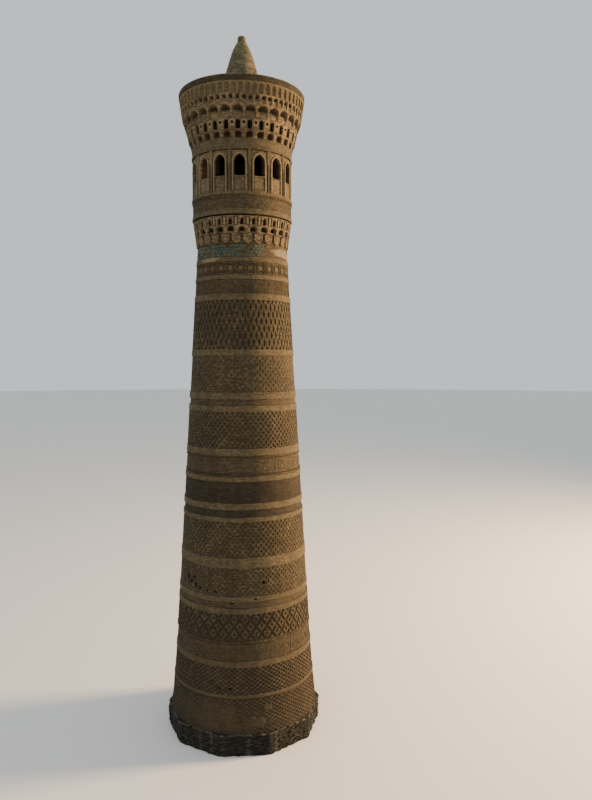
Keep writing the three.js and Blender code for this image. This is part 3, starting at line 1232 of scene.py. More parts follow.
@dataclass(frozen=True)
class Slice:
    """One repeat of a worked ring: nested outlines in front, a plain wall behind.

    Plumb loops fall back from a flaring face to the radius of the ring's foot, as a stalactite's niche does.
    """

    repeats: int
    foot: float
    head: float
    foot_radius: float
    head_radius: float
    inner_radius: float
    centre: float
    loops: tuple[Loop, ...]
    back: float = 0.0
    peak: float = 0.0
    through: bool = False
    share: float = 1.0
    shift: float = 0.0
    # How strongly depth behind the face darkens the finish with painted shade.
    painted_shade_share: float = 0.85

    def mean_radius(self) -> float:
        """The radius at which widths are true."""
        return (self.foot_radius + self.head_radius) / 2

    def border(self) -> tuple[Point, ...]:
        """The slice's own outline."""
        return box_outline(math.pi / self.repeats * self.share * self.mean_radius(), self.foot, self.head)

    def face(self, height: float, back: float, plumb: float) -> float:
        """The radius of a loop at a height."""
        flare = lerp(self.foot_radius, self.head_radius, (height - self.foot) / (self.head - self.foot))
        return lerp(flare, min(flare, self.foot_radius), plumb) - back

    def rays(self) -> list[float]:
        """Chooses the rays along which the outlines are joined, alike to the left and right.

        Returns:
            The rays' angles, anticlockwise from straight down.
        """
        chosen = [-math.pi / 2, math.pi / 2]
        for outline in (self.border(), *(loop.outline for loop in self.loops)):
            for x, z in outline:
                angle = math.atan2(z - self.centre, abs(x))
                if all(abs(angle - other) > RAY_MERGE for other in chosen):
                    chosen.append(angle)
        chosen.sort()
        filled = []
        for low, high in zip(chosen, chosen[1:]):
            parts = math.ceil((high - low) / RAY_GAP)
            filled += [lerp(low, high, i / parts) for i in range(parts)]
        right = filled + [math.pi / 2]
        left = [math.pi - angle for angle in reversed(right[1:-1])]
        return right + left

    def add_to(self, worked: Worked) -> None:
        """Adds the slice's faces to a mesh.

        Args:
            worked: The mesh.
        """
        rays = self.rays()
        border = self.border()
        loops = [Loop(border, self.back), *self.loops]
        inner = Loop(border, radius=self.inner_radius)
        if self.through:
            loops.append(inner)
        rows = [self.row(worked, loop, rays) for loop in loops]
        for wide, narrow in zip(rows, rows[1:]):
            bridge(worked, wide, narrow)
        last = rows[-1]
        if not self.through:
            self.cap(worked, last, self.face(self.centre, self.peak, self.loops[-1].plumb))
            last = self.row(worked, inner, rays)
            self.cap(worked, last, self.inner_radius)
        heights = [ray_exit(border, self.centre, ray)[1] for ray in rays]
        for i, height in enumerate(heights):
            k = (i + 1) % len(heights)
            for edge in (self.foot, self.head):
                if max(abs(height - edge), abs(heights[k] - edge)) < SAME_HEIGHT:
                    worked.faces.new((rows[0][i], rows[0][k], last[k], last[i]))

    def row(self, worked: Worked, loop: Loop, rays: Sequence[float]) -> list[Corner]:
        """Makes a loop's vertices, one on each ray.

        Args:
            worked: The mesh.
            loop: The loop.
            rays: The rays' angles.

        Returns:
            The vertices.
        """
        vertices = []
        for ray in rays:
            across, height = ray_exit(loop.outline, self.centre, ray)
            radius = self.face(height, loop.back, loop.plumb) if loop.radius is None else loop.radius
            vertices.append(self.corner(worked, radius, across, height))
        return vertices

    def corner(self, worked: Worked, radius: float, across: float, height: float) -> Corner:
        """Makes one vertex, and notes how far behind the face it lies, for its finish's painted shade and
        painted highlight.

        Args:
            worked: The mesh.
            radius: The vertex's radius.
            across: Its place across the slice.
            height: Its height.

        Returns:
            The vertex.
        """
        turn = self.shift * math.tau / self.repeats
        vertex = worked.verts.new(on_ring(radius, across / self.mean_radius() + turn, height))
        deep = self.face(height, 0.0, 0.0) - radius
        # Depth behind the face is scaled for painted shade; raised places keep theirs for a painted highlight.
        vertex[worked.verts.layers.float["depth"]] = deep * self.painted_shade_share if deep > 0 else deep
        return vertex

    def cap(self, worked: Worked, row: list[Corner], radius: float) -> None:
        """Closes a loop with faces that meet at one point."""
        bridge(worked, row, [self.corner(worked, radius, 0.0, self.centre)] * len(row))


class Workshop:
    """Holds the trees, and makes pieces with them."""

    def __init__(self) -> None:
        """Builds the two trees."""
        self.bricks = LaidBricks("laid_bricks")
        self.copies = RingOfCopies("ring_of_copies")

    def lay(
        self,
        name: str,
        work: Brickwork,
        wall: Wall,
        finish: Finish,
        seed: int,
        slot: str,
        layout: Mesh | None = None,
    ) -> None:
        """Lays a band of bricks on a wall.

        Args:
            name: The new piece's name.
            work: The bricks' bond and sizes.
            wall: The wall that they lie on.
            finish: The bricks' finish.
            seed: Seed of all that is random.
            slot: The record's material slot.
            layout: Where the bricks lie, if some of the band is missing.
        """
        sizes = {
            **wall.sizes(),
            "Seed": seed,
            "Unevenness": work.uneven,
            "Taper": work.taper,
            "Sunk": model(BRICK_BED),
        }
        if layout is None:
            layout = work.layout(wall, seed)
        hand_over(self.bricks.grow(name, layout, finish, sizes), slot)

    def ring(
        self,
        name: str,
        slices: Sequence[Slice],
        finish: Finish,
        slot: str,
        *nodes: str,
        degrees: float = 0.0,
        rough: float = 0.008,
    ) -> None:
        """Makes a closed ring of repeated slices.

        Args:
            name: The new piece's name.
            slices: The slices that make one repeat.
            finish: The ring's finish.
            slot: The record's material slot.
            nodes: The solids that it stands for.
            degrees: Angle of the first repeat.
            rough: How far the surface is pushed in and out.
        """
        worked = bmesh.new()
        # Each vertex's depth behind the face drives its finish's painted shade and painted highlight.
        worked.verts.layers.float.new("depth")
        for one in slices:
            one.add_to(worked)
        bmesh.ops.remove_doubles(worked, verts=worked.verts, dist=WELD_DISTANCE)
        sizes = {"Count": slices[0].repeats, "First Angle": math.radians(degrees), "Seed": len(name)}
        piece = self.copies.grow(name, baked(worked, name), finish, sizes)
        tidy_mesh(piece.data, recalculate=True)
        weather(piece.data, rough, len(name))
        hand_over(piece, slot, *nodes)

    def repeat(self, name: str, mesh: Mesh, count: int, degrees: float, finish: Finish, slot: str) -> None:
        """Stands copies of one closed shape round the tower.

        Args:
            name: The new piece's name.
            mesh: The shape.
            count: Number of copies.
            degrees: Angle of the first copy.
            finish: The finish of all copies.
            slot: The record's material slot.
        """
        sizes = {"Count": count, "First Angle": math.radians(degrees), "Seed": count}
        piece = self.copies.grow(name, mesh, finish, sizes)
        tidy_mesh(piece.data)
        hand_over(piece, slot)


@dataclass
class Plinth:
    """The low ten-sided foot of rough, broken brickwork."""

    sides: int = 10
    turn: float = math.radians(3)
    height: float = 1.35
    corner_radius: float = 5.16
    inset: float = 0.1
    seed: int = 11

    def build(self, shop: Workshop) -> None:
        """Makes the bed and its broken facing.

        Args:
            shop: Makes the pieces.
        """
        rim, top = self.corner_radius - self.inset, self.height
        bed = courses(
            PLINTH_BED, (0.0, 0.0), (rim, 0.0), (rim, top - 0.05), (rim - self.inset, top), (0.0, top)
        )
        mesh = turned("plinth", bed, self.sides)
        mesh.transform(Matrix.Rotation(self.turn + math.pi / self.sides, 4, "Z"))
        hand_over(placed("plinth_bed", mesh), "plinth_brick", "plinth")
        flat = self.corner_radius * math.cos(math.pi / self.sides) - self.inset
        wall = Wall(0.0, top, flat, flat, sides=self.sides, turn=self.turn)
        facing = Brickwork(
            Bond.SOLID, 0.0, top - 0.02, 116, 15, relief=0.07, joint=0.014, lost=0.2, uneven=0.42, taper=0.2
        )
        shop.lay("plinth_facing", facing, wall, PLINTH_BRICK, self.seed, "plinth_brick")
        coping = Brickwork(
            Bond.SOLID, top - 0.085, top - 0.005, 120, 1, relief=0.08, joint=0.02, lost=0.32, uneven=0.2
        )
        shop.lay("plinth_coping", coping, wall, COPING_BRICK, self.seed + 1, "plinth_brick")


@dataclass(frozen=True)
class Border:
    """One border course above a band: its top, how far it stands out, and its finish."""

    top: float
    out: float = FILLET
    finish: Finish = BORDER_BRICK


@dataclass(frozen=True)
class Drum:
    """One drum of the shaft: its node, its bands of relief brick and the border courses over them."""

    node: str
    band_top: float
    borders: tuple[Border, ...]
    works: tuple[Brickwork, ...] = ()
    finish: Finish = RELIEF_BRICK
    # The default bed behind the relief is darkened with painted shade.
    bed: Finish = PAINTED_SHADE_BRICK


def groove(top: float, finish: Finish = GROOVE_BRICK) -> Border:
    """A border course that is set back."""
    return Border(top, GROOVE, finish)


def dentils(middle: float) -> Brickwork:
    """A row of tiny bricks in a groove."""
    foot, head = middle - 0.035, middle + 0.035
    return Brickwork(Bond.CROSS_HATCH, foot, head, 200, 1, relief=0.06, joint=0.006, taper=0.2)


DRUMS = (
    Drum("shaft_drum_01_lower_hatch", 3.46, (groove(3.54), Border(3.73)),
         (Brickwork(Bond.CROSS_HATCH, 1.37, 3.46, 82, 17, relief=0.034),)),
    Drum("shaft_drum_02_cross_hatch", 5.41, (Border(5.78),),
         (Brickwork(Bond.CROSS_HATCH, 3.73, 5.41, 80, 13, relief=0.038),)),
    Drum("shaft_drum_03_panel_frieze", 6.83, (groove(7.11),),
         (Brickwork(Bond.FRET, 5.8, 6.81, 44, 18, relief=0.02, joint=0.004),
          Brickwork(Bond.SOLID, 6.93, 7.01, 96, 1, relief=0.08)), bed=GROOVE_BRICK),
    Drum("shaft_drum_04_lozenge", 8.69, (Border(9.04), groove(9.44), Border(9.76)),
         (Brickwork(Bond.NESTED, 7.11, 8.69, 40, 24, 1.68, 0.05, 0.004, phase=-0.056, rise=0.14),),
         bed=DEEP_PAINTED_SHADE_BRICK),
    Drum("shaft_drum_05_fine_hatch", 11.52, (Border(12.16),),
         (Brickwork(Bond.LATTICE, 9.76, 11.52, 81, 24, 4.8, 0.028, 0.003, bars=0.5),)),
    Drum("shaft_drum_06_zigzag", 14.38, (Border(14.66), groove(15.12, DARK_GROOVE), Border(15.52)),
         (Brickwork(Bond.LATTICE, 12.16, 14.38, 78, 34, 5.8, 0.035, 0.004),)),
    Drum("shaft_drum_07_dark_weave", 16.86, (Border(17.17), groove(17.48)),
         (Brickwork(Bond.SOLID, 15.54, 16.84, 84, 18, relief=0.022, joint=0.016, uneven=0.3), dentils(17.33)),
         DARK_BRICK),
    Drum("shaft_drum_08_square_panels", 18.16, (groove(18.47), Border(18.91)),
         (Brickwork(Bond.PANEL, 17.5, 18.14, 30, 9, relief=0.018), dentils(18.32)), bed=GROOVE_BRICK),
    Drum("shaft_drum_09_diamond", 21.2, (Border(21.57), groove(21.97), Border(22.4)),
         (Brickwork(Bond.LATTICE, 18.91, 21.2, 70, 34, 5.8, 0.042, 0.004, bars=0.56),)),
    Drum("shaft_drum_10_fine_weave", 24.7, (Border(25.09),),
         (Brickwork(Bond.LATTICE, 22.4, 24.7, 59, 32, 5.3, 0.02, 0.003, bars=0.42),)),
    Drum("shaft_drum_11_zigzag_relief", 28.16, (Border(28.56),),
         (Brickwork(Bond.LATTICE, 25.09, 28.16, 60, 42, 3.5, 0.047, 0.003, bars=0.62),), bed=DEEP_PAINTED_SHADE_BRICK),
    Drum("shaft_drum_12_key_pattern", 29.46, (Border(29.74),),
         (Brickwork(Bond.CHEVRON, 28.58, 29.44, 80, 14, 3.5, 0.025, 0.006),), bed=GROOVE_BRICK),
    Drum("shaft_drum_13_medallions", 30.54, (Border(30.85),)),
)


@dataclass
class Shaft:
    """The tapering shaft with its thirteen ornamental bands."""

    foot: float = 1.35
    neck: float = 31.63
    ground_radius: float = 4.84
    neck_radius: float = 2.95
    bore: float = 2.0
    flare: float = 0.14
    flare_height: float = 4.0
    relief: float = 0.045
    rough: float = 0.012
    seed: int = 20
    mend_rough: float = 0.016
    mend_edge: float = 0.02
    mend_bed: float = 0.03
    hole_sides: int = 9
    hole_depth: float = 0.3
    hole_taper: float = 0.7

    def radius(self, height: float) -> float:
        """The shaft's radius at a height."""
        taper = lerp(self.ground_radius, self.neck_radius, height / self.neck)
        return taper + self.flare * max(0.0, 1 - (height - self.foot) / self.flare_height) ** 1.5

    def outline(self, drum: Drum, foot: float) -> list[Course]:
        """Draws a drum's outline.

        Args:
            drum: The drum.
            foot: Height of its foot.

        Returns:
            The closed outline, with the recess behind the relief and the rounded border courses.
        """
        height = drum.band_top
        drawn = courses(BORDER_BRICK, (self.bore, foot), (self.radius(foot) - self.relief, foot))
        drawn += courses(drum.bed, (self.radius(height) - self.relief, height))
        for border in drum.borders:
            edge = FILLET if border.out > 0 else 0.0
            low, high = self.radius(height) + border.out, self.radius(border.top) + border.out
            drawn += courses(border.finish, (low - edge, height), (low, height + edge))
            drawn += courses(border.finish, (high, border.top - edge), (high - edge, border.top))
            height = border.top
        return drawn + courses(BORDER_BRICK, (self.bore, height))

    def build(self, shop: Workshop) -> None:
        """Makes every drum, then its bricks.

        Args:
            shop: Makes the pieces.
        """
        foot = self.foot
        for number, drum in enumerate(DRUMS, 1):
            core = placed(f"shaft_core_{number:02d}", turned(drum.node, self.outline(drum, foot)))
            head = drum.borders[-1].top
            self.pierce(core, foot, head)
            weather(core.data, self.rough, number)
            hand_over(core, "shaft_brick", drum.node)
            for part, work in enumerate(drum.works, 1):
                sunk = self.relief if work.head <= drum.band_top else -GROOVE
                wall = Wall(foot, head, self.radius(foot) - sunk, self.radius(head) - sunk)
                name = f"shaft_relief_{number:02d}_{part}"
                shop.lay(name, work, wall, drum.finish, self.seed + number, "shaft_brick")
            foot = head
        self.medallions(shop)
        for number, mend in enumerate(MENDS, 1):
            self.smooth_over(mend, number)

    def smooth_over(self, mend: Mend, number: int) -> None:
        """Lays a mend over the relief, as a thin closed shell with a ragged edge.

        Args:
            mend: The mend.
            number: Its number.
        """
        loops, turns = 10, full_turn(64)
        front = [(i / loops, mend.lift - self.mend_edge * (i == loops)) for i in range(1, loops + 1)]
        back = [(share, -self.relief - self.mend_bed) for share, _ in reversed(front)]
        middle, centre = math.radians(mend.degrees), self.radius(mend.height)
        worked = bmesh.new()
        tips = [
            worked.verts.new(on_ring(centre + out, middle, mend.height)) for out in (front[0][1], back[-1][1])
        ]
        rows = []
        for share, out in front + back:
            row = []
            for turn in turns:
                reach = share * mend.reach(turn)
                height = mend.height + reach * math.sin(turn) * mend.half_tall
                angle = math.radians(mend.degrees + reach * math.cos(turn) * mend.half_turn)
                row.append(worked.verts.new(on_ring(self.radius(height) + out, angle, height)))
            rows.append(row)
        for wide, narrow in zip(rows, rows[1:]):
            bridge(worked, wide, narrow)
        for tip, row in zip(tips, (rows[0], rows[-1])):
            bridge(worked, row, [tip] * len(row))
        face_outwards(worked)
        mesh = smoothed(baked(worked, "mend", mend.finish))
        weather(mesh, self.mend_rough, number)
        hand_over(placed(f"shaft_mend_{number:02d}", mesh), "shaft_brick")

    def pierce(self, core: Object, foot: float, head: float) -> None:
        """Cuts the holes that fall on one drum into its core.

        Args:
            core: The drum's core.
            foot: Height of its foot.
            head: Height of its head.
        """
        holes = [hole for hole in HOLES if foot + 0.1 < hole.height < head - 0.1]
        if not holes:
            return
        worked = bmesh.new()
        for number, hole in enumerate(holes):
            face, middle = self.radius(hole.height), math.radians(hole.degrees)
            ragged = random.Random(number + int(hole.height * 10))
            turns = [(turn, ragged.uniform(0.7, 1.15)) for turn in full_turn(self.hole_sides)]
            rows = []
            for radius, shrink in ((face + 0.2, 1.0), (face - self.hole_depth, self.hole_taper)):
                row = []
                for turn, reach in turns:
                    across = hole.width / 2 * reach * shrink * math.cos(turn)
                    height = hole.height + hole.tall / 2 * reach * shrink * math.sin(turn)
                    row.append(worked.verts.new(on_ring(radius, middle + across / radius, height)))
                rows.append(row)
            bridge(worked, rows[0], rows[1])
            worked.faces.new(rows[1])
            worked.faces.new(rows[0][::-1])
        face_outwards(worked)
        # The holes' walls take the brick darkened with painted shade.
        cutters = placed("hole_cutters", baked(worked, "hole_cutters", PAINTED_SHADE_BRICK))
        cut = core.modifiers.new("holes", "BOOLEAN")
        cut.operation = "DIFFERENCE"
        cut.solver = "EXACT"
        cut.object = cutters
        evaluated(core)
        bpy.data.objects.remove(cutters)

    def medallions(self, shop: Workshop) -> None:
        """Works the band of ring medallions under the glazed band.

        Args:
            shop: Makes the pieces.
        """
        foot, head, ground = 29.78, 30.5, 0.07
        deep = ground + 0.03
        middle = (foot + head) / 2
        outer = self.radius(middle) + 0.02
        frames = rectangles((0.3, foot + 0.03, head - 0.03, 0.0), (0.292, foot + 0.045, head - 0.045, ground))
        circles = ((0.288, ground), (0.28, 0.0), (0.25, 0.0), (0.238, deep), (0.18, deep), (0.165, 0.005))
        loops = (*frames, *(Loop(round_outline(radius, middle), back) for radius, back in circles))
        ring = Slice(30, foot, head, outer, outer - 0.045, outer - 0.16, middle, loops, peak=-0.002)
        shop.ring("medallion_band", (ring,), BORDER_BRICK, "shaft_brick", degrees=0.3, rough=0.004)


@dataclass
class GlazedBand:
    """The glazed band at the neck: tiles on the left, bare brick and plaster where they have fallen."""

    foot: float = 30.85
    head: float = 31.63
    foot_radius: float = 2.998
    head_radius: float = 2.95
    bore: float = 2.0
    tile: float = 0.03
    seed: int = 41
    bare_from: float = 26.0
    bare_to: float = 100.0
    patchy: float = 0.22
    fallen: float = 0.9

    def build(self, shop: Workshop) -> None:
        """Makes the plaster bed and the tiles that are left.

        Args:
            shop: Makes the pieces.
        """
        low, high = self.foot_radius - self.tile, self.head_radius - self.tile
        bed = [
            *courses(BORDER_BRICK, (self.bore, self.foot), (low, self.foot)),
            *courses(GROOVE_BRICK, (high, self.head)),
            *courses(BORDER_BRICK, (self.bore, self.head)),
        ]
        mesh = turned("glazed_bed", bed)
        weather(mesh, 0.02, 3)
        hand_over(placed("glazed_bed", mesh), "glazed_tile", "glazed_band")
        wall = Wall(self.foot, self.head, low, high)
        foot, head = self.foot + 0.02, self.head - 0.02
        tiles = Brickwork(Bond.SOLID, foot, head, 72, 4, relief=self.tile, lost=0.08, uneven=0.2, taper=0.05)
        layout = tiles.layout(wall, self.seed)
        self.drop_fallen(layout)
        shop.lay("glazed_tiles", tiles, wall, GLAZE, self.seed, "glazed_tile", layout)

    def drop_fallen(self, layout: Mesh) -> None:
        """Takes away the tiles that have fallen, in ragged patches.

        Args:
            layout: The tiles' places, which are thinned out.
        """
        chance = random.Random(7)
        worked = bmesh.new()
        worked.from_mesh(layout)
        fallen = []
        for vertex in worked.verts:
            degrees = math.degrees(vertex.co.x)
            patch = noise.noise(Vector((degrees / 14, vertex.co.z * 30, 5.0)))
            bare = self.bare_from < degrees < self.bare_to or patch > self.patchy
            if bare and chance.random() < self.fallen:
                fallen.append(vertex)
        bmesh.ops.delete(worked, geom=fallen, context="VERTS")
        worked.to_mesh(layout)
        worked.free()


@dataclass
class LowerCornice:
    """The stalactite cornice that carries the gallery: leaves, blocks and tall niches."""

    foot: float = 31.63
    leaf_top: float = 32.29
    block_top: float = 32.73
    head: float = 33.33
    bore: float = 2.0
    count: int = 27
    degrees: float = 2.4

    def build(self, shop: Workshop) -> None:
        """Makes the three rows from the neck up.

        Args:
            shop: Makes the pieces.
        """
        rows = (
            ("leaves", (self.leaf(),), ("lower_cornice_leaf_ring",), 180 / self.count),
            ("hoods", (self.hood(),), (), 0.0),
            ("niches", (self.niche(), self.rib()), ("lower_cornice_niche_ring",), 0.0),
        )
        for name, slices, nodes, turn in rows:
            turn += self.degrees
            shop.ring(f"lower_cornice_{name}", slices, CORNICE_BRICK, "cornice_brick", *nodes, degrees=turn)

    def leaf(self) -> Slice:
        """Draws a leaf that stands out from its bed and hangs with its point down.

        Returns:
            The slice of one repeat.
        """
        foot, head = self.foot, self.leaf_top
        sizes = (
            (0.29, foot + 0.03, 31.98, head - 0.03, 0.12),
            (0.26, foot + 0.08, 31.98, head - 0.05, 0.0),
            (0.2, foot + 0.17, 32.0, head - 0.09, 0.0),
            (0.18, foot + 0.2, 32.0, head - 0.11, 0.03),
        )
        loops = tuple(Loop(drop_outline(*size[:4]), size[4]) for size in sizes)
        return Slice(self.count, foot, head, 3.0, 3.08, self.bore, 32.04, loops, back=0.12)

    def hood(self) -> Slice:
        """Draws an arched block over a leaf's gap, hollow under its head.

        Returns:
            The slice of one repeat.
        """
        foot, head = self.leaf_top, self.block_top
        loops = arches(
            (0.26, foot + 0.02, 32.5, head - 0.02, 0.0),
            (0.23, foot + 0.03, 32.49, head - 0.04, 0.05),
            (0.17, 32.42, 32.48, head - 0.06, 0.1),
            (0.14, 32.44, 32.49, head - 0.08, 0.24),
            plumb=1.0,
        )
        return Slice(self.count, foot, head, 3.07, 3.14, self.bore, 32.54, loops, peak=0.26)

    def niche(self) -> Slice:
        """Draws a tall dark niche.

        Returns:
            The slice of one repeat.
        """
        foot, head = self.block_top, self.head
        loops = arches(
            (0.13, foot + 0.05, 33.07, 33.24, 0.0),
            (0.105, foot + 0.07, 33.06, 33.2, 0.04),
            (0.09, foot + 0.08, 33.05, 33.18, 0.2),
        )
        return Slice(self.count, foot, head, 3.13, 3.22, self.bore, 32.98, loops, peak=0.22, share=0.46)

    def rib(self) -> Slice:
        """Draws the panel with a rib that stands between two niches.

        Returns:
            The slice of one repeat.
        """
        foot, head = self.block_top, self.head
        loops = rectangles(
            (0.16, foot + 0.03, head - 0.04, 0.0),
            (0.15, foot + 0.04, head - 0.05, 0.07),
            (0.07, foot + 0.05, head - 0.06, 0.07),
            (0.06, foot + 0.06, head - 0.07, RAISED),
        )
        return Slice(
            self.count, foot, head, 3.13, 3.22, self.bore, 33.02, loops, peak=RAISED, share=0.54, shift=0.5
        )


@dataclass
class GalleryDrum:
    """The drum under the windows, with a carved band and a scalloped ledge."""

    foot: float = 33.33
    lip_top: float = 33.74
    band_top: float = 34.42
    ledge: float = 34.62
    head: float = 34.81
    radius: float = 3.24
    lip: float = 3.28
    undercut: float = 3.08
    undercut_top: float = 33.43
    inner: float = 2.72
    bore: float = 2.0
    floor_foot: float = 34.46

    def build(self, shop: Workshop) -> None:
        """Makes the drum, its carved band, its dentils and its ledge.

        Args:
            shop: Makes the pieces.
        """
        recess, top, lip_back = self.radius - 0.03, self.undercut_top, self.lip - 0.03
        core = [
            *courses(CORNICE_BRICK, (self.bore, self.foot)),
            # The undercut under the lip is painted near-black as shade.
            *courses(CEILING_PAINTED_SHADE, (self.undercut, self.foot), (self.undercut, top), (self.lip - 0.02, top)),
            *courses(BORDER_BRICK, (self.lip, top + 0.03), (self.lip, self.lip_top - 0.12)),
            *courses(BORDER_BRICK, (lip_back, self.lip_top - 0.1), (lip_back, self.lip_top)),
            *courses(GROOVE_BRICK, (recess, self.lip_top), (recess, self.ledge)),
            *courses(PAINTED_SHADE_BRICK, (self.inner, self.ledge)),
            *courses(CORNICE_BRICK, (self.inner, self.floor_foot), (self.bore, self.floor_foot)),
        ]
        mesh = turned("gallery_drum_core", core)
        weather(mesh, 0.008, 8)
        hand_over(placed("gallery_drum_core", mesh), "gallery_brick", "gallery_drum")
        wall = Wall(self.lip_top, self.head, recess, recess)
        low, high = self.lip_top + 0.03, self.band_top - 0.03
        carved = Brickwork(Bond.NESTED, low, high, 40, 12, 1.5, relief=0.014, joint=0.004)
        shop.lay("gallery_carved_band", carved, wall, RELIEF_BRICK, 51, "gallery_brick")
        low, high = self.band_top + 0.03, self.ledge - 0.04
        teeth = Brickwork(Bond.CROSS_HATCH, low, high, 150, 1, relief=0.05, joint=0.006)
        shop.lay("gallery_dentils", teeth, wall, RELIEF_BRICK, 52, "gallery_brick")
        nose = self.radius + 0.035
        ledge = courses(
            BORDER_BRICK, (self.inner, self.ledge), (self.radius, self.ledge), (nose, self.ledge + 0.05),
            (nose, self.head - 0.03), (self.radius + 0.01, self.head), (self.inner, self.head),
        )
        mesh = turned("gallery_ledge", ledge, 192, lobes=16, swell=0.035)
        hand_over(placed("gallery_ledge", mesh), "gallery_brick")


@dataclass
class Arcade:
    """Sixteen bays, each with a blind panel, a pointed window in a frame, and colonnettes between them."""

    bays: int = 16
    foot: float = 34.81
    sill: float = 35.73
    head: float = 37.35
    radius: float = 3.24
    inner: float = 2.72
    half_window: float = 0.36
    spring: float = 36.58
    apex: float = 37.08
    groove: float = 0.1
    panel: float = 0.035

    def build(self, shop: Workshop) -> None:
        """Makes the parapet, the windows and the colonnettes.

        Args:
            shop: Makes the pieces.
        """
        nodes = [f"gallery_bay_{number:02d}" for number in range(1, self.bays + 1)]
        rings = (("parapet", self.parapet_bay(), ["gallery_parapet"]), ("windows", self.window_bay(), nodes))
        for name, bay, stands_for in rings:
            shop.ring(f"arcade_{name}", (bay,), CORNICE_BRICK, "gallery_brick", *stands_for, rough=0.006)
        post, turn = self.colonnette(), 180 / self.bays
        shop.repeat("arcade_colonnettes", post, self.bays, turn, LAID_BORDER_BRICK, "gallery_brick")

    def bay(self, foot: float, head: float, centre: float, loops: tuple[Loop, ...]) -> Slice:
        """Draws one bay between grooves, out of nested loops."""
        radius = self.radius
        return Slice(self.bays, foot, head, radius, radius, self.inner, centre, loops, back=self.groove)

    def window_bay(self) -> Slice:
        """Draws a bay's window, its arched moulding and its square frame.

        Returns:
            The slice of one repeat.
        """
        half, sill, spring, apex = self.half_window, self.sill, self.spring, self.apex
        loops = (
            *rectangles((0.505, sill + 0.001, self.head - 0.05, self.groove)),
            *rectangles((0.495, sill + 0.002, self.head - 0.058, self.panel)),
            *arches(
                (half + 0.1, sill + 0.003, spring, apex + 0.125, self.panel),
                (half + 0.09, sill + 0.004, spring, apex + 0.115, RAISED),
                (half + 0.012, sill + 0.008, spring, apex + 0.015, RAISED),
                (half, sill + 0.012, spring, apex, 0.02),
            ),
            Loop(arch_outline(half, sill + 0.012, spring, apex), radius=self.inner),
        )
        return replace(self.bay(sill, self.head, spring, loops), through=True)

    def parapet_bay(self) -> Slice:
        """Draws the blind panel under a window, with the same mouldings down its sides.

        Returns:
            The slice of one repeat.
        """
        half, foot, sill = self.half_window, self.foot, self.sill
        loops = rectangles(
            (0.505, foot + 0.01, sill - 0.001, self.groove),
            (0.495, foot + 0.012, sill - 0.002, self.panel),
            (half + 0.1, foot + 0.016, sill - 0.003, self.panel),
            (half + 0.09, foot + 0.02, sill - 0.004, RAISED),
            (half + 0.01, foot + 0.04, sill - 0.02, RAISED),
            (half, foot + 0.045, sill - 0.025, self.groove),
            (half - 0.03, foot + 0.05, sill - 0.03, self.groove),
            (half - 0.04, foot + 0.055, sill - 0.035, 0.04),
        )
        return replace(self.bay(foot, sill, (foot + sill) / 2, loops), peak=0.04)

    def colonnette(self) -> Mesh:
        """Turns one engaged colonnette with its base and capital, and stands a flat pilaster on it.

        Returns:
            Its mesh.
        """
        foot, pilaster = self.foot, 36.52
        outline = (
            (0.0, foot), (0.09, foot), (0.09, foot + 0.06), (0.055, foot + 0.1), (0.055, 36.24),
            (0.085, 36.28), (0.085, 36.33), (0.06, 36.36), (0.1, 36.46), (0.1, pilaster), (0.0, pilaster),
        )
        angles = full_turn(10)
        stand = Vector((0.0, -self.radius + 0.06, 0.0))
        worked = bmesh.new()
        rows = []
        for radius, height in outline:
            ring = [Vector((radius * math.cos(a), radius * math.sin(a), height)) + stand for a in angles]
            if radius == 0:
                rows.append([worked.verts.new(ring[0] * SCALE)] * len(angles))
                continue
            rows.append([worked.verts.new(place * SCALE) for place in ring])
        for low, high in zip(rows, rows[1:]):
            bridge(worked, low, high)
        corners = ((-0.11, -0.2), (0.11, -0.2), (0.1, 0.0), (-0.1, 0.0))
        sides = [
            [worked.verts.new(Vector((x, -self.radius - out, height)) * SCALE) for x, out in corners]
            for height in (pilaster + 0.005, self.head - 0.002)
        ]
        bridge(worked, *sides)
        for side in sides:
            worked.faces.new(side)
        face_outwards(worked)
        return baked(worked, "colonnette")


@dataclass
class Frieze:
    """The moulding and plain frieze over the windows."""

    foot: float = 37.35
    mould_top: float = 37.47
    head: float = 37.99
    mould: float = 3.3
    foot_radius: float = 3.25
    head_radius: float = 3.29
    inner: float = 2.72
    edge: float = 0.03

    def build(self) -> None:
        """Turns the frieze."""
        edge, mould, mould_top, rim, top = self.edge, self.mould, self.mould_top, self.head_radius, self.head
        outline = courses(
            BORDER_BRICK, (self.inner, self.foot), (mould - edge, self.foot), (mould, self.foot + edge),
            (mould, mould_top - edge), (mould - edge, mould_top), (self.foot_radius, mould_top),
            (rim, top - edge), (rim - 0.02, top), (self.inner, top),
        )
        mesh = turned("frieze_ring", outline)
        weather(mesh, 0.008, 4)
        hand_over(placed("frieze_ring", mesh), "gallery_brick", "frieze")


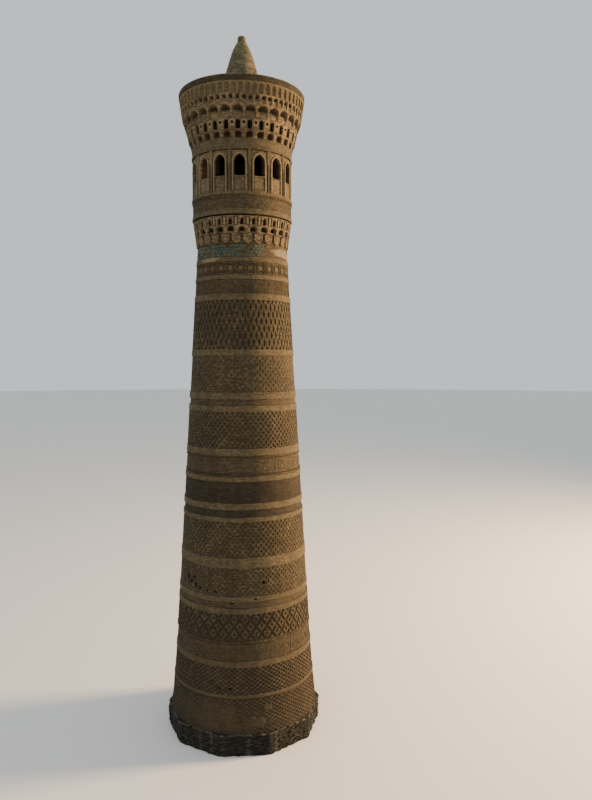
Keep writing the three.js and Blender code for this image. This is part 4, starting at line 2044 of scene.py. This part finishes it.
@dataclass
class UpperCornice:
    """The five tiers of niches and stalactites that carry the roof's rim."""

    foot: float = 37.99
    bore: float = 3.0
    bays: int = 30
    degrees: float = -1.1

    def build(self, shop: Workshop) -> None:
        """Makes the tiers from the lowest up.

        Args:
            shop: Makes the pieces.
        """
        tiers = (
            ("fringe", (self.fringe(),), ("upper_cornice_fringe",), 0.0, CORNICE_BRICK),
            ("niches", (self.niche(), self.eye()), ("upper_cornice_niches",), 0.0, CORNICE_BRICK),
            ("stalactites", (self.stalactite(),), ("upper_cornice_stalactites",), 0.0, CORNICE_BRICK),
            ("ribs", (self.rib(),), (), 0.0, CORNICE_BRICK),
            ("slots", (self.slot(),), ("upper_cornice_slots",), 90 / self.bays, SLOT_BRICK),
        )
        for name, slices, nodes, turn, finish in tiers:
            turn += self.degrees
            shop.ring(f"cornice_{name}", slices, finish, "cornice_brick", *nodes, degrees=turn)

    def fringe(self) -> Slice:
        """Draws a dark arch between two hanging ribs.

        Returns:
            The slice of one repeat.
        """
        foot, head = self.foot, 38.45
        loops = arches(
            (0.235, foot + 0.02, 38.26, 38.42, 0.0),
            (0.2, foot + 0.03, 38.25, 38.38, 0.06),
            (0.13, foot + 0.05, 38.22, 38.33, 0.14),
            plumb=1.0,
        )
        return Slice(self.bays, foot, head, 3.3, 3.41, self.bore, 38.2, loops, peak=0.16)

    def niche(self) -> Slice:
        """Draws a dark pointed niche with a raised edge.

        Returns:
            The slice of one repeat.
        """
        foot, head = 38.45, 39.11
        loops = arches(
            (0.185, foot + 0.012, 38.86, 39.09, 0.0),
            (0.18, foot + 0.015, 38.86, 39.08, RAISED),
            (0.158, foot + 0.025, 38.86, 39.05, RAISED),
            (0.15, foot + 0.03, 38.86, 39.04, 0.05),
        )
        loops += (Loop(arch_outline(0.135, foot + 0.04, 38.84, 39.0), 0.24, plumb=1.0),)
        return Slice(self.bays, foot, head, 3.46, 3.58, self.bore, 38.78, loops, peak=0.28, share=0.52)

    def eye(self) -> Slice:
        """Draws the square with a round hole that stands beside a niche.

        Returns:
            The slice of one repeat.
        """
        foot, head = 38.45, 39.11
        middle = 38.86
        loops = rectangles((0.155, 38.62, head - 0.04, 0.0), (0.145, 38.63, head - 0.05, RAISED))
        holes = ((0.09, RAISED), (0.075, 0.16))
        loops += tuple(Loop(round_outline(radius, middle, 12), back) for radius, back in holes)
        return Slice(
            self.bays, foot, head, 3.46, 3.58, self.bore, middle, loops, peak=0.17, share=0.48, shift=0.5
        )

    def stalactite(self) -> Slice:
        """Draws a wide arched hood, dark under its head, over a plain back that falls to the tier below.

        Returns:
            The slice of one repeat.
        """
        foot, head = 39.11, 39.85
        loops = arches(
            (0.355, foot + 0.02, 39.52, 39.82, 0.0),
            (0.325, foot + 0.03, 39.51, 39.79, 0.01),
            (0.27, 39.5, 39.54, 39.76, 0.03),
            (0.24, 39.52, 39.55, 39.73, 0.1),
            plumb=1.0,
            steps=7,
        )
        return Slice(self.bays, foot, head, 3.62, 3.86, self.bore, 39.62, loops, peak=0.12, painted_shade_share=0.5)

    def rib(self) -> Slice:
        """Draws one of the narrow niches over the hoods, deep only under its head.

        Returns:
            The slice of one repeat.
        """
        foot, head = 39.85, 40.42
        loops = arches(
            (0.15, foot + 0.02, 40.26, 40.4, 0.0),
            (0.13, foot + 0.03, 40.25, 40.38, 0.03),
            (0.09, 40.16, 40.26, 40.35, 0.05),
            (0.075, 40.18, 40.26, 40.34, 0.16),
            plumb=0.6,
        )
        return Slice(2 * self.bays, foot, head, 3.87, 3.96, self.bore, 40.26, loops, peak=0.18, painted_shade_share=0.7)

    def slot(self) -> Slice:
        """Draws one of the tall narrow niches under the rim.

        Returns:
            The slice of one repeat.
        """
        foot, head = 40.42, 41.14
        loops = arches(
            (0.195, foot + 0.01, 40.9, 41.12, 0.0),
            (0.19, foot + 0.013, 40.9, 41.11, RAISED),
            (0.165, foot + 0.02, 40.89, 41.08, RAISED),
            (0.155, foot + 0.025, 40.89, 41.06, 0.05),
        )
        return Slice(2 * self.bays, foot, head, 3.95, 4.04, self.bore, 40.8, loops, peak=0.09)


@dataclass
class Roof:
    """The roof: its rim, deck and domed underside, and the brick pinnacle."""

    rim_foot: float = 41.14
    rim_top: float = 41.53
    rim_radius: float = 4.1
    deck: float = 41.4
    core: float = 2.99
    dome_foot: float = 37.99
    dome_radius: float = 2.65
    dome_rise: float = 2.6
    cone_top: float = 45.13
    cone_foot_radius: float = 1.65
    cone_neck_radius: float = 0.27
    cone_bulge: float = 0.1
    brick: float = 0.25
    top: float = 45.5

    def build(self, shop: Workshop) -> None:
        """Makes the roof, then the cone and its knob.

        Args:
            shop: Makes the pieces.
        """
        rim, foot, top = self.rim_radius, self.rim_foot, self.rim_top
        low, wide, steps = self.dome_foot, self.dome_radius, 10
        slopes = [math.pi / 2 * i / steps for i in range(steps)]
        dome = [(wide * math.sin(a), low + self.dome_rise * math.cos(a)) for a in slopes]
        outline = [
            # The dome's underside is painted near-black as shade.
            *courses(CEILING_PAINTED_SHADE, *dome, (wide, low)),
            *courses(CORNICE_BRICK, (self.core, low), (self.core, foot), (rim - 0.07, foot)),
            *courses(RIM_BRICK, (rim - 0.02, foot + 0.06), (rim, foot + 0.2), (rim, top - 0.09)),
            # A thin groove under the rim's top, darkened with painted shade.
            *courses(PAINTED_SHADE_BRICK, (rim - 0.04, top - 0.08), (rim - 0.04, top - 0.05)),
            *courses(ROOF_BRICK, (rim - 0.05, top), (rim - 0.33, top - 0.01), (rim - 0.37, self.deck + 0.02)),
            *courses(ROOF_BRICK, (2.6, self.deck), (0.0, self.deck)),
        ]
        hand_over(placed("roof_shell", turned("roof", outline)), "roof_brick", "roof_vault")
        self.pinnacle(shop)

    def pinnacle(self, shop: Workshop) -> None:
        """Lays the cone's bricks on a core, and turns the knob.

        Args:
            shop: Makes the pieces.
        """
        deck, low, high = self.deck, self.cone_top, self.top
        wall = Wall(deck, low, self.cone_foot_radius - 0.05, self.cone_neck_radius - 0.03, self.cone_bulge)
        steps = 12
        heights = [lerp(deck, low, i / steps) for i in range(steps + 1)]
        side = [(wall.radius(height), height) for height in heights]
        core = courses(CONE_BED, (0.0, deck), *side, (0.0, low))
        hand_over(placed("pinnacle_core", turned("pinnacle_core", core, 48)), "roof_brick", "pinnacle_cone")
        bands = 4
        tall = (low - deck) / bands
        for band in range(bands):
            foot = deck + band * tall
            columns = max(10, round(math.tau * wall.radius(foot + tall / 2) / self.brick))
            bricks = Brickwork(
                Bond.SOLID, foot, foot + tall, columns, 11, relief=0.04, joint=0.008, lost=0.02, uneven=0.13,
                taper=0.12,
            )
            shop.lay(f"pinnacle_bricks_{band + 1}", bricks, wall, CONE_BRICK, 60 + band, "roof_brick")
        knob = courses(
            ROOF_BRICK, (0.0, low), (0.22, low), (0.265, low + 0.05), (0.27, high - 0.12),
            (0.22, high - 0.04), (0.1, high - 0.005), (0.0, high),
        )
        hand_over(placed("pinnacle_finial", turned("pinnacle_knob", knob, 20)), "roof_brick", "pinnacle_knob")


@dataclass(frozen=True)
class Studio:
    """The pale floor, the soft lights and the camera."""

    distance: float = 46.35
    height: float = 24.24
    azimuth: float = 3.0
    pitch: float = 3.07
    yaw: float = 4.39
    focal_pixels: float = 690.0
    long_side_pixels: float = 800.0
    sensor: float = 36.0
    floor_radius: float = 60.0
    aim_height: float = 2.3

    def build(self) -> None:
        """Sets up the studio."""
        self.floor()
        self.lights()
        self.camera()

    def camera(self) -> None:
        """Stands the camera where the picture was taken from."""
        azimuth, pitch = math.radians(self.azimuth), math.radians(self.pitch)
        heading = azimuth - math.radians(self.yaw)
        level = Vector((-math.sin(heading), math.cos(heading), 0.0))
        aim = level * math.cos(pitch) - Vector((0.0, 0.0, math.sin(pitch)))
        data = bpy.data.cameras.new("camera")
        data.sensor_width = self.sensor
        data.lens = self.sensor * self.focal_pixels / self.long_side_pixels
        data.clip_start, data.clip_end = 0.01, 200.0
        camera = placed("camera", data)
        camera.location = on_ring(self.distance, azimuth, self.height)
        camera.rotation_euler = aim.to_track_quat("-Z", "Y").to_euler()
        bpy.context.scene.camera = camera

    def floor(self) -> None:
        """Lays a wide pale floor."""
        worked = bmesh.new()
        bmesh.ops.create_circle(worked, cap_ends=True, segments=96, radius=self.floor_radius)
        floor = placed("floor", baked(worked, "floor", CARD))

    def lights(self) -> None:
        """Hangs a warm key from the right, a cool fill from the left and an even sky."""
        world = bpy.data.worlds.new("sky")
        world.use_nodes = True
        sky = world.node_tree.nodes["Background"]
        sky.inputs["Color"].default_value = (0.87, 0.93, 0.98, 1.0)
        sky.inputs["Strength"].default_value = 0.85
        bpy.context.scene.world = world
        aim = Vector((0.0, 0.0, self.aim_height))
        for name, place, power, size, tint in (
            ("key", (9.2, 1.6, 3.6), 3300.0, 2.0, (1.0, 0.66, 0.34)),
            ("fill", (-2.0, -4.5, 8.0), 90.0, 3.0, (1.0, 0.97, 0.88)),
        ):
            data = bpy.data.lights.new(name, "AREA")
            data.energy = power
            data.size = size
            data.color = tint
            light = placed(name, data)
            light.location = place
            light.rotation_euler = (aim - Vector(place)).to_track_quat("-Z", "Y").to_euler()


def dress_floor() -> None:
    """Gives the gallery's floor slab its brick finish."""
    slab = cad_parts["gallery_floor"]
    slab.data.materials.clear()
    slab.data.materials.append(ROOF_BRICK.material())


def main() -> None:
    """Sets up the studio, then builds the tower from the ground up."""
    logging.basicConfig(level=logging.INFO, format="%(name)s: %(message)s")
    Studio().build()
    shop = Workshop()
    Plinth().build(shop)
    Shaft().build(shop)
    GlazedBand().build(shop)
    LowerCornice().build(shop)
    GalleryDrum().build(shop)
    dress_floor()
    Arcade().build(shop)
    Frieze().build()
    UpperCornice().build(shop)
    Roof().build(shop)


if __name__ == "__main__":
    main()
